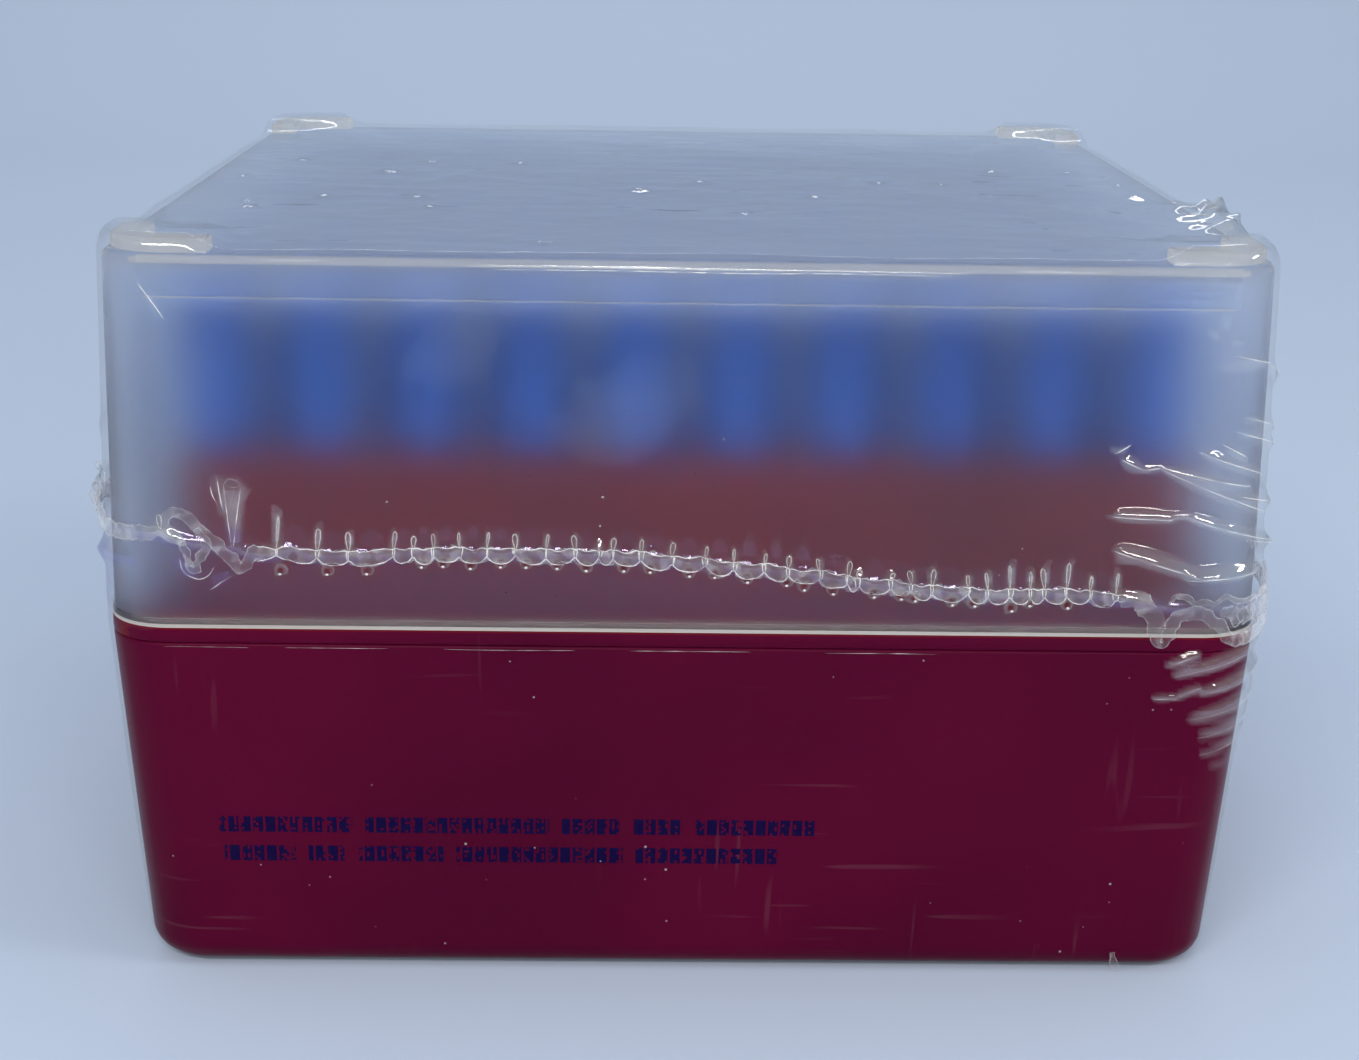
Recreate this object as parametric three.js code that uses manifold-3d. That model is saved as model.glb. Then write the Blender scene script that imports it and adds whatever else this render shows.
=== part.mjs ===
// A sealed box of pipette tips, as a three.js model in millimetres, +Z up.
//
// The box stands on its wrapping: the origin is under the middle of the pack, -Y is the printed
// front. From the bottom up it is a tapered tray, a rack that hangs its flange on the tray's rim
// and carries the tips in a raised deck, a frosted lid that stands on the same flange, and a clear
// shrink film round everything, closed by a weld bead that runs round the pack.

import * as THREE from 'three';
import { mergeVertices } from 'three/addons/utils/BufferGeometryUtils.js';
import Module from 'manifold-3d';

const manifold = await Module();
manifold.setup();

// ---------------------------------------------------------------------------------------------
// Driving dimensions, in millimetres
// ---------------------------------------------------------------------------------------------

// The box is square: its width across the rim, where lid, flange and tray meet.
const BOX_WIDTH = 125.8;

// Tips: a wide hub above the deck, a long tapered body below it. Their pitch follows from the
// deck, and their radii from the pitch.
const TIPS_PER_SIDE = 10;
const SEPARATE_ROWS = 5; // further rows are moulded in one with the rack
const TIP_LENGTH = 72;
const HUB_LENGTH = 17.6; // from the deck up to the mouth
const HUB_FLARE = 0.15; // the mouth is this much wider than the collar
const HUB_SPACING = 1.9; // free space between neighbouring hubs
const COLLAR_REACH = 0.75; // the collar overhangs the body and rests on the deck
const TIP_WALL = 0.9;
const END_RADIUS = 0.9;
const ORIFICE_RADIUS = 0.45;

// Rack
const HOLE_CLEARANCE = 0.3; // between a tip's body and its hole
const HOLE_MARGIN = 0.25; // between the outer holes and the inside of the skirt
const RACK_WALL = 1.3;
const DECK_THICKNESS = 2;
const DECK_RISE = 18; // deck above the flange
const DECK_EDGE = 0.8; // rounding of the deck's edge
const SKIRT_FLARE = 0.8; // the skirt is this much further out at the flange, on each side
const FLANGE_THICKNESS = 1.7;
const RIB_GAP = 2.4; // between the skirt and the rib that centres the lid
const RIB_WIDTH = 1.1;
const RIB_HEIGHT = 1.5;
const LOCATOR_DEPTH = 4; // the short skirt that centres the rack in the tray

// Tray
const TRAY_WALL = 1.8;
const TRAY_TAPER = 2.3; // each side is this much further in at the floor
const TRAY_EDGE = 3; // rounding round the floor
const TIP_FLOOR_GAP = 3; // under the ends of the tips

// Lid
const LID_WALL = 1.6;
const LID_TAPER = 0.6; // each side is this much further in at the top
const LID_EDGE = 1; // rounding round the top
const LID_BEAD_REACH = 0.2;
const LID_BEAD_HEIGHT = 1;
const HEADROOM = 3; // between the hubs and the lid's ceiling
const STEP_DROP = 4.4; // the sides step back this far below the top, between the corners
const STEP_DEPTH = 0.3;
const LUG_LENGTH = 12; // the raised stacking lugs on the four corners
const LUG_WIDTH = 3.5;
const LUG_HEIGHT = 1.5;

// Shrink film
const FILM_THICKNESS = 0.3;
const FILM_GAP = 0.3;
const VENTS_PER_SIDE = 3; // small holes in the top of the film
const VENT_RADIUS = 0.5;
const VENT_SPACING = 30;
const BEAD_WIDTH = 1.6;
const BEAD_REACH = 0.9;
const BEAD_RISE = 7; // above the flange, halfway along the front
const BEAD_TILT = 3.8; // higher than that on the left, lower on the right
const BEAD_WAVE = 0.8;
const BEAD_WAVES = 6;

// Shared
const CORNER_RADIUS = 7; // upright corners of tray, flange and lid
const SMALLEST_CORNER = 0.5;
const FIT_GAP = 0.3; // between pieces that slide into each other
const CORNER_STEPS = 5;
const EDGE_STEPS = 3;
const SIDE_STEPS = 10; // steps of the weld bead along one side
const TIP_SIDES = 8;

// ---------------------------------------------------------------------------------------------
// Sizes that follow
// ---------------------------------------------------------------------------------------------

// Half widths, from the rim in to the deck and down to the tray's floor.
const rimHalf = BOX_WIDTH / 2;
const lidWallHalf = rimHalf - LID_BEAD_REACH;
const lidInnerHalf = lidWallHalf - LID_WALL;
const lidTopHalf = lidWallHalf - LID_TAPER;
const ribHalf = lidInnerHalf - FIT_GAP;
const skirtHalf = ribHalf - RIB_WIDTH - RIB_GAP;
const deckHalf = skirtHalf - SKIRT_FLARE;
const trayBottomHalf = rimHalf - TRAY_TAPER;
const trayInnerHalf = rimHalf - TRAY_WALL;
const locatorHalf = trayInnerHalf - FIT_GAP;

// The tips' grid: each tip has a square cell, and the outer holes keep HOLE_MARGIN to the skirt.
const outerHoleReach = RACK_WALL + HOLE_MARGIN + HOLE_CLEARANCE;
const collarSpread = COLLAR_REACH + HUB_FLARE + HUB_SPACING / 2;
const tipPitch = (2 * (deckHalf - outerHoleReach + collarSpread)) / TIPS_PER_SIDE;
const mouthRadius = (tipPitch - HUB_SPACING) / 2;
const hubRadius = mouthRadius - HUB_FLARE;
const bodyRadius = hubRadius - COLLAR_REACH; // just below the deck
const holeRadius = bodyRadius + HOLE_CLEARANCE;
const gridHalf = ((TIPS_PER_SIDE - 1) / 2) * tipPitch; // out to the outer tips' axes
const deckCorner = deckHalf - gridHalf; // concentric with the corner holes

// Heights, from the tray's floor up to the lugs.
const trayZ = FILM_THICKNESS;
const tipEndZ = trayZ + TRAY_WALL + TIP_FLOOR_GAP;
const deckZ = tipEndZ + TIP_LENGTH - HUB_LENGTH;
const seatZ = deckZ - DECK_RISE; // the flange's upper face, where the lid stands
const trayRimZ = seatZ - FLANGE_THICKNESS;
const ceilingZ = deckZ + HUB_LENGTH + HEADROOM;
const lidTopZ = ceilingZ + LID_WALL;
const lugTopZ = lidTopZ + LUG_HEIGHT;

// ---------------------------------------------------------------------------------------------
// Shape helpers
// ---------------------------------------------------------------------------------------------

/** A square ring with round corners: half its width, its height and its corner radius. */
function ring(half, z, corner) {
  return { half, z, corner: Math.max(corner, SMALLEST_CORNER) };
}

/** A ring concentric with the rim's outline, as every ring between tray, flange and lid is. */
function rimRing(half, z) {
  return ring(half, z, CORNER_RADIUS - (rimHalf - half));
}

/** The rings of a rounded edge, from the flat face it borders (at height z) to the wall. */
function edgeRings(half, z, corner, edge, direction) {
  const rings = [];
  for (let step = 0; step <= EDGE_STEPS; step++) {
    const angle = (step / EDGE_STEPS) * (Math.PI / 2);
    const inset = edge * (1 - Math.sin(angle));
    const rise = edge * (1 - Math.cos(angle));
    rings.push(ring(half - inset, z + direction * rise, corner - inset));
  }
  return rings;
}

/** The points of one ring, anticlockwise, with extra points along each straight side. */
function ringPoints({ half, z, corner }, sideSteps = 1) {
  const points = [];
  for (let quarter = 0; quarter < 4; quarter++) {
    const turn = new THREE.Matrix4().makeRotationZ((quarter * Math.PI) / 2);
    for (let step = 0; step <= CORNER_STEPS; step++) {
      const angle = (step / CORNER_STEPS) * (Math.PI / 2);
      const x = half - corner + corner * Math.cos(angle);
      const y = half - corner + corner * Math.sin(angle);
      points.push(new THREE.Vector3(x, y, z).applyMatrix4(turn));
    }
    for (let step = 1; step < sideSteps; step++) {
      const x = (half - corner) * (1 - (2 * step) / sideSteps);
      points.push(new THREE.Vector3(x, half, z).applyMatrix4(turn));
    }
  }
  return points;
}

/**
 * A closed skin through rows of points. A looped skin joins its last row to its first; any other
 * is capped, its first row facing down and its last row facing up.
 */
function skin(rows, looped = false) {
  const count = rows[0].length;
  const positions = rows.flat().flatMap((point) => [point.x, point.y, point.z]);
  const index = [];
  const lastRow = looped ? rows.length : rows.length - 1;
  for (let row = 0; row < lastRow; row++) {
    const low = row * count;
    const high = ((row + 1) % rows.length) * count;
    for (let i = 0; i < count; i++) {
      const next = (i + 1) % count;
      index.push(low + i, low + next, high + next, low + i, high + next, high + i);
    }
  }
  if (!looped) {
    const top = (rows.length - 1) * count;
    for (let i = 1; i < count - 1; i++) {
      index.push(0, i + 1, i, top, top + i, top + i + 1);
    }
  }
  const geometry = new THREE.BufferGeometry();
  geometry.setAttribute('position', new THREE.Float32BufferAttribute(positions, 3));
  geometry.setIndex(index);
  return geometry;
}

/** The solid that a path of square rings encloses, such as a cup's outside, rim and inside. */
function loft(rings) {
  return skin(rings.map((each) => ringPoints(each)));
}

/** A box with its middle at the given place. */
function box(width, depth, height, x, y, z) {
  return new THREE.BoxGeometry(width, depth, height).translate(x, y, z);
}

/** An upright round rod between two heights. */
function rod(radius, lowZ, highZ, x, y) {
  const geometry = new THREE.CylinderGeometry(radius, radius, highZ - lowZ, TIP_SIDES);
  return geometry.rotateX(Math.PI / 2).translate(x, y, (lowZ + highZ) / 2);
}

/** A geometry as a manifold solid, ready to be joined and cut. */
function solid(geometry) {
  const bare = geometry.clone();
  bare.deleteAttribute('normal');
  bare.deleteAttribute('uv');
  const merged = mergeVertices(bare);
  const vertProperties = new Float32Array(merged.attributes.position.array);
  const triVerts = new Uint32Array(merged.index.array);
  return new manifold.Manifold(new manifold.Mesh({ numProp: 3, vertProperties, triVerts }));
}

/** A manifold solid as a geometry. */
function geometryOf(body) {
  const { vertProperties, triVerts } = body.getMesh();
  const geometry = new THREE.BufferGeometry();
  geometry.setAttribute('position', new THREE.Float32BufferAttribute(vertProperties, 3));
  geometry.setIndex(Array.from(triVerts));
  geometry.computeVertexNormals();
  return geometry;
}

// ---------------------------------------------------------------------------------------------
// Pieces
// ---------------------------------------------------------------------------------------------

/** Every tip's place in the rack, front row first. */
function tipPlaces() {
  const places = [];
  for (let row = 0; row < TIPS_PER_SIDE; row++) {
    for (let column = 0; column < TIPS_PER_SIDE; column++) {
      const x = column * tipPitch - gridHalf;
      const y = row * tipPitch - gridHalf;
      places.push({ row, column, x, y, separate: row < SEPARATE_ROWS });
    }
  }
  return places;
}

/** One hollow tip, its collar's underside at height zero. */
function tipGeometry() {
  const endZ = HUB_LENGTH - TIP_LENGTH;
  const outline = [
    new THREE.Vector2(ORIFICE_RADIUS, endZ),
    new THREE.Vector2(END_RADIUS, endZ),
    new THREE.Vector2(bodyRadius, 0),
    new THREE.Vector2(hubRadius, 0),
    new THREE.Vector2(mouthRadius, HUB_LENGTH),
    new THREE.Vector2(mouthRadius - TIP_WALL, HUB_LENGTH),
    new THREE.Vector2(ORIFICE_RADIUS, endZ),
  ];
  return new THREE.LatheGeometry(outline, TIP_SIDES).rotateX(Math.PI / 2);
}

/** The tray: a tapered cup with a rounded floor edge and a flat rim. */
function trayGeometry() {
  const floorZ = trayZ + TRAY_WALL;
  const innerEdge = Math.max(TRAY_EDGE - TRAY_WALL, SMALLEST_CORNER);
  const innerCorner = CORNER_RADIUS - TRAY_WALL;
  return loft([
    ...edgeRings(trayBottomHalf, trayZ, CORNER_RADIUS, TRAY_EDGE, 1),
    rimRing(rimHalf, trayRimZ),
    rimRing(trayInnerHalf, trayRimZ),
    ...edgeRings(trayBottomHalf - TRAY_WALL, floorZ, innerCorner, innerEdge, 1).reverse(),
  ]);
}

/** The rack: raised deck, skirt, flange, the rib inside the lid and the locator in the tray. */
function rackGeometry() {
  const locatorLowZ = trayRimZ - LOCATOR_DEPTH;
  const taper = (TRAY_TAPER * LOCATOR_DEPTH) / (trayRimZ - trayZ - TRAY_EDGE);
  const skirtCorner = deckCorner + SKIRT_FLARE;
  const shell = loft([
    ring(deckHalf - RACK_WALL, deckZ - DECK_THICKNESS, deckCorner - RACK_WALL),
    ring(skirtHalf - RACK_WALL, trayRimZ, skirtCorner - RACK_WALL),
    rimRing(locatorHalf - RACK_WALL, trayRimZ),
    rimRing(locatorHalf - taper - RACK_WALL, locatorLowZ),
    rimRing(locatorHalf - taper, locatorLowZ),
    rimRing(locatorHalf, trayRimZ),
    rimRing(rimHalf, trayRimZ),
    rimRing(rimHalf, seatZ),
    rimRing(ribHalf, seatZ),
    rimRing(ribHalf, seatZ + RIB_HEIGHT),
    rimRing(ribHalf - RIB_WIDTH, seatZ + RIB_HEIGHT),
    rimRing(ribHalf - RIB_WIDTH, seatZ),
    ring(skirtHalf, seatZ, skirtCorner),
    ...edgeRings(deckHalf, deckZ, deckCorner, DECK_EDGE, -1).reverse(),
  ]);

  let body = solid(shell);
  for (const { x, y, separate } of tipPlaces()) {
    const radius = separate ? holeRadius : bodyRadius - TIP_WALL / 2;
    const hole = rod(radius, deckZ - 2 * DECK_THICKNESS, deckZ + DECK_THICKNESS, x, y);
    body = body.subtract(solid(hole));
    if (!separate) {
      body = body.add(solid(tipGeometry().translate(x, y, deckZ)));
    }
  }
  return geometryOf(body);
}

/** Solid corner blocks of the box's top outline, out to the given length from each corner. */
function cornerBlocks(half, corner, length, lowZ, highZ) {
  const slab = solid(loft([ring(half, lowZ, corner), ring(half, highZ, corner)]));
  const gapWidth = 2 * Math.max(half - length, 0);
  const height = 2 * (highZ - lowZ);
  const middleZ = (lowZ + highZ) / 2;
  const alongX = solid(box(gapWidth, 3 * half, height, 0, 0, middleZ));
  const alongY = solid(box(3 * half, gapWidth, height, 0, 0, middleZ));
  return slab.subtract(alongX).subtract(alongY);
}

/** The lid: an upturned cup with a bead round its rim, stepped sides and corner lugs. */
function lidGeometry() {
  const innerEdge = Math.max(LID_EDGE - LID_WALL, SMALLEST_CORNER);
  const innerCorner = CORNER_RADIUS - LID_WALL;
  let body = solid(loft([
    ...edgeRings(lidTopHalf - LID_WALL, ceilingZ, innerCorner, innerEdge, -1),
    rimRing(lidInnerHalf, seatZ),
    rimRing(rimHalf, seatZ),
    rimRing(rimHalf, seatZ + LID_BEAD_HEIGHT),
    rimRing(lidWallHalf, seatZ + LID_BEAD_HEIGHT + LID_BEAD_REACH),
    ...edgeRings(lidTopHalf, lidTopZ, CORNER_RADIUS, LID_EDGE, -1).reverse(),
  ]));

  const flatLength = 2 * (lidTopHalf - CORNER_RADIUS);
  const stepHeight = 2 * STEP_DROP; // runs on past the top
  for (let side = 0; side < 4; side++) {
    const place = lidTopHalf - STEP_DEPTH + LID_WALL / 2;
    const recess = box(flatLength, LID_WALL, stepHeight, 0, place, lidTopZ);
    body = body.subtract(solid(recess.rotateZ((side * Math.PI) / 2)));
  }

  const inset = LID_EDGE;
  const outer = lidTopHalf - inset;
  const corner = CORNER_RADIUS - inset;
  const lowZ = lidTopZ - LID_WALL / 2;
  const blocks = cornerBlocks(outer, corner, LUG_LENGTH - inset, lowZ, lugTopZ);
  const coreLowZ = lowZ - LUG_HEIGHT; // the cut runs on past both ends
  const coreTopZ = lugTopZ + LUG_HEIGHT;
  const core = cornerBlocks(outer - LUG_WIDTH, corner - LUG_WIDTH, LUG_LENGTH, coreLowZ, coreTopZ);
  return geometryOf(body.add(blocks.subtract(core)));
}

/** The outside of the closed box, swollen by the film's distance from it. */
function swollenBox(offset, bottomZ) {
  const corner = CORNER_RADIUS + offset;
  const topHalf = lidTopHalf + offset;
  const topZ = lidTopZ + offset;
  const body = solid(loft([
    ...edgeRings(trayBottomHalf + offset, bottomZ, corner, TRAY_EDGE + offset, 1),
    rimRing(rimHalf + offset, trayRimZ),
    rimRing(rimHalf + offset, seatZ + LID_BEAD_HEIGHT),
    ...edgeRings(topHalf, topZ, corner, LID_EDGE + offset, -1).reverse(),
  ]));
  const lugOuter = topHalf - LID_EDGE;
  const lugCorner = corner - LID_EDGE;
  const lugLength = LUG_LENGTH - LID_EDGE + 2 * offset;
  return body.add(cornerBlocks(lugOuter, lugCorner, lugLength, ceilingZ, lugTopZ + offset));
}

/** The weld bead: a low ridge that wanders round the pack on the film's outside. */
function beadGeometry() {
  const offset = FILM_GAP + FILM_THICKNESS;
  const lowZ = seatZ + LID_BEAD_HEIGHT;
  const slope = (rimHalf - lidTopHalf) / (lidTopZ - LID_EDGE - lowZ);
  const rows = ringPoints(rimRing(rimHalf + offset, 0), SIDE_STEPS).map((point, place, all) => {
    const wave = Math.sin((2 * Math.PI * BEAD_WAVES * place) / all.length);
    const z = seatZ + BEAD_RISE - (BEAD_TILT * point.x) / rimHalf + BEAD_WAVE * wave;
    const lean = slope * Math.max(z - lowZ, 0);
    const before = all[(place + all.length - 1) % all.length];
    const after = all[(place + 1) % all.length];
    const along = new THREE.Vector3().subVectors(after, before).normalize();
    const out = new THREE.Vector3(along.y, -along.x, 0);
    const section = [
      [-FILM_THICKNESS / 2, BEAD_WIDTH / 2],
      [BEAD_REACH, BEAD_WIDTH / 4],
      [BEAD_REACH, -BEAD_WIDTH / 4],
      [-FILM_THICKNESS / 2, -BEAD_WIDTH / 2],
    ];
    return section.map(([reach, rise]) => {
      const foot = new THREE.Vector3(point.x, point.y, z + rise);
      return foot.addScaledVector(out, reach - lean);
    });
  });
  return skin(rows, true);
}

/** The film: a thin bag round the box, with its vents and its weld bead. */
function filmGeometry() {
  const outside = swollenBox(FILM_GAP + FILM_THICKNESS, 0);
  const inside = swollenBox(FILM_GAP, trayZ);
  let body = outside.add(solid(beadGeometry())).subtract(inside);
  const middle = (VENTS_PER_SIDE - 1) / 2;
  for (let row = 0; row < VENTS_PER_SIDE; row++) {
    for (let column = 0; column < VENTS_PER_SIDE; column++) {
      const x = (column - middle) * VENT_SPACING;
      const y = (row - middle) * VENT_SPACING;
      body = body.subtract(solid(rod(VENT_RADIUS, lidTopZ, lugTopZ, x, y)));
    }
  }
  return geometryOf(body);
}

// ---------------------------------------------------------------------------------------------
// Materials and assembly
// ---------------------------------------------------------------------------------------------

const maroon = new THREE.MeshStandardMaterial({ color: 0x600c24, roughness: 0.35, metalness: 0 });
const blue = new THREE.MeshStandardMaterial({ color: 0x2a63b8, roughness: 0.3, metalness: 0 });
const frosted = new THREE.MeshStandardMaterial({
  color: 0xd9dde2,
  roughness: 0.45,
  metalness: 0,
  transparent: true,
  opacity: 0.45,
});
const clear = new THREE.MeshStandardMaterial({
  color: 0xf4f6f8,
  roughness: 0.08,
  metalness: 0,
  transparent: true,
  opacity: 0.15,
});

/** A named piece of the model. */
function piece(name, geometry, material) {
  const mesh = new THREE.Mesh(geometry, material);
  mesh.name = name;
  return mesh;
}

/** The tips that are pieces of their own, standing in the rack's holes. */
function tipGroup() {
  const group = new THREE.Group();
  group.position.z = deckZ;
  for (const { row, column, x, y, separate } of tipPlaces()) {
    if (separate) {
      const tip = piece(`tip_row${row + 1}_column${column + 1}`, tipGeometry(), blue);
      tip.position.set(x, y, 0);
      group.add(tip);
    }
  }
  return group;
}

const model = new THREE.Group();
model.add(
  piece('base_tray', trayGeometry(), maroon),
  piece('tip_rack', rackGeometry(), maroon),
  tipGroup(),
  piece('lid', lidGeometry(), frosted),
  piece('shrink_film', filmGeometry(), clear),
);

export default model;
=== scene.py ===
"""Looks of a box of pipette tips in shrink film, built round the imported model.

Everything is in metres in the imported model's frame: the box stands on z = 0 and its printed side
faces -Y.
"""

import logging
import math
from dataclasses import dataclass, field
from enum import Enum
from typing import Any, Callable, Dict, List, Optional, Sequence, Tuple

import bmesh
import bpy
import numpy as np
from mathutils import Matrix, Vector


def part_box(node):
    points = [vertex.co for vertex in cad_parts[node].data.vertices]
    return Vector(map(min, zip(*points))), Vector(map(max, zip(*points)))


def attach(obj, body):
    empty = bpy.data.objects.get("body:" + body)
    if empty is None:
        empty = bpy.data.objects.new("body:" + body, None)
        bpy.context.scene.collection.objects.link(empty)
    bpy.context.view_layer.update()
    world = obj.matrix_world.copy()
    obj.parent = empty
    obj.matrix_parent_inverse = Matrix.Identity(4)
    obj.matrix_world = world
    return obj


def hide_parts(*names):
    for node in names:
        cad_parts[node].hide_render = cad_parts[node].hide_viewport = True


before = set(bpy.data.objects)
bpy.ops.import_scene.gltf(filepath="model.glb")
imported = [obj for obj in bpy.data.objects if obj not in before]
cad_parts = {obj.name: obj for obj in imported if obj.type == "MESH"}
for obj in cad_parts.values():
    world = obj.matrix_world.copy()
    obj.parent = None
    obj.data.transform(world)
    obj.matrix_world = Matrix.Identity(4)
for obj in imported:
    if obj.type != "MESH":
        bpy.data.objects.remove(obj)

Array = np.ndarray
Bend = Tuple[float, float, float, float]  # s, z, distance out and half width, in millimetres
Colour = Tuple[float, float, float, float]
Material = bpy.types.Material
Piece = bpy.types.Object
Place = Tuple[float, float, float]
Point = Tuple[float, float]
Test = Callable[[Vector, Vector], bool]
Tree = bpy.types.NodeTree

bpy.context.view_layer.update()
LOG = logging.getLogger("tip_box")
MM = 0.001
BOUNCES = {
    "transparent_max_bounces": 16, "max_bounces": 6, "diffuse_bounces": 2,
    "glossy_bounces": 1, "transmission_bounces": 5,
}
WHITE = (1.0, 1.0, 1.0, 1.0)
DUST_SPACING = 0.0025  # Between places that may hold a speck
GATHERED = "gathered"  # Vertex attribute: how gathered the film is
SLACK = "slack"  # Vertex attribute: how slack the film is, where the film paints a bluish reflection; negative where it paints dark shade in its dents
NEAR = 1e-6  # Places closer than this count as one
FAR = 1000.0  # Millimetres, beyond everything
UPRIGHT = 0.9  # Least share of a direction along z that counts as upright
CORNER_STEPS = 14  # Parts of an upright corner that shows
INNER_CORNER_STEPS = 12  # Parts of an upright corner inside the lid


def srgb(red: int, green: int, blue: int) -> Colour:
    """Linear colour of a screen colour.

    Args:
        red: Red, 0 to 255.
        green: Green, 0 to 255.
        blue: Blue, 0 to 255.

    Returns:
        Linear red, green, blue and an alpha of one.
    """
    parts = [value / 255 for value in (red, green, blue)]
    linear = [p / 12.92 if p <= 0.04045 else ((p + 0.055) / 1.055) ** 2.4 for p in parts]
    return (linear[0], linear[1], linear[2], 1.0)


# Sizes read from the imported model


@dataclass(frozen=True)
class PackSizes:
    """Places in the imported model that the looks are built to."""

    rim_half: float  # Half the width over the rim that tray, flange and lid share
    tray_z: float  # Underside of the tray
    flange_z: float  # Underside of the rack's flange, where the tray's rim ends
    seat_z: float  # Top of the flange, where the lid stands
    lug_z: float  # Top of the lid's lugs
    tip_end_z: float  # Lower ends of the tips
    mouth_z: float  # Upper ends of the tips
    mouth_radius: float  # Radius of a tip's mouth
    first_tip: float  # Distance from the middle to the outer tips' axes
    tip_pitch: float  # Distance between neighbouring tips

    @classmethod
    def measure(cls) -> "PackSizes":
        """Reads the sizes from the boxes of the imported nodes."""
        tray_low, tray_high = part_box("base_tray")
        lid_low, lid_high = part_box("lid")
        tip_low, tip_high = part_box("tip_row1_column1")
        next_low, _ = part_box("tip_row1_column2")
        return cls(
            rim_half=tray_high.x,
            tray_z=tray_low.z,
            flange_z=tray_high.z,
            seat_z=lid_low.z,
            lug_z=lid_high.z,
            tip_end_z=tip_low.z,
            mouth_z=tip_high.z,
            mouth_radius=(tip_high.x - tip_low.x) / 2,
            first_tip=-(tip_low.x + tip_high.x) / 2,
            tip_pitch=next_low.x - tip_low.x,
        )


# Modelling by hand, in edit mode


class Pick(Enum):
    """What is picked in edit mode."""

    FACES = "FACE"
    EDGES = "EDGE"


class Join(Enum):
    """How one body is worked into another."""

    ADD = "UNION"
    CUT = "DIFFERENCE"


class End(Enum):
    """An end of an upright body."""

    TOP = 1
    BOTTOM = -1


def rest_selection() -> None:
    """Leaves edit mode and deselects every object."""
    if bpy.context.mode != "OBJECT":
        bpy.ops.object.mode_set(mode="OBJECT")
    bpy.ops.object.select_all(action="DESELECT")


def activate(piece: Piece) -> None:
    """Leaves edit mode with this object alone selected and active."""
    rest_selection()
    piece.select_set(True)
    bpy.context.view_layer.objects.active = piece


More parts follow.
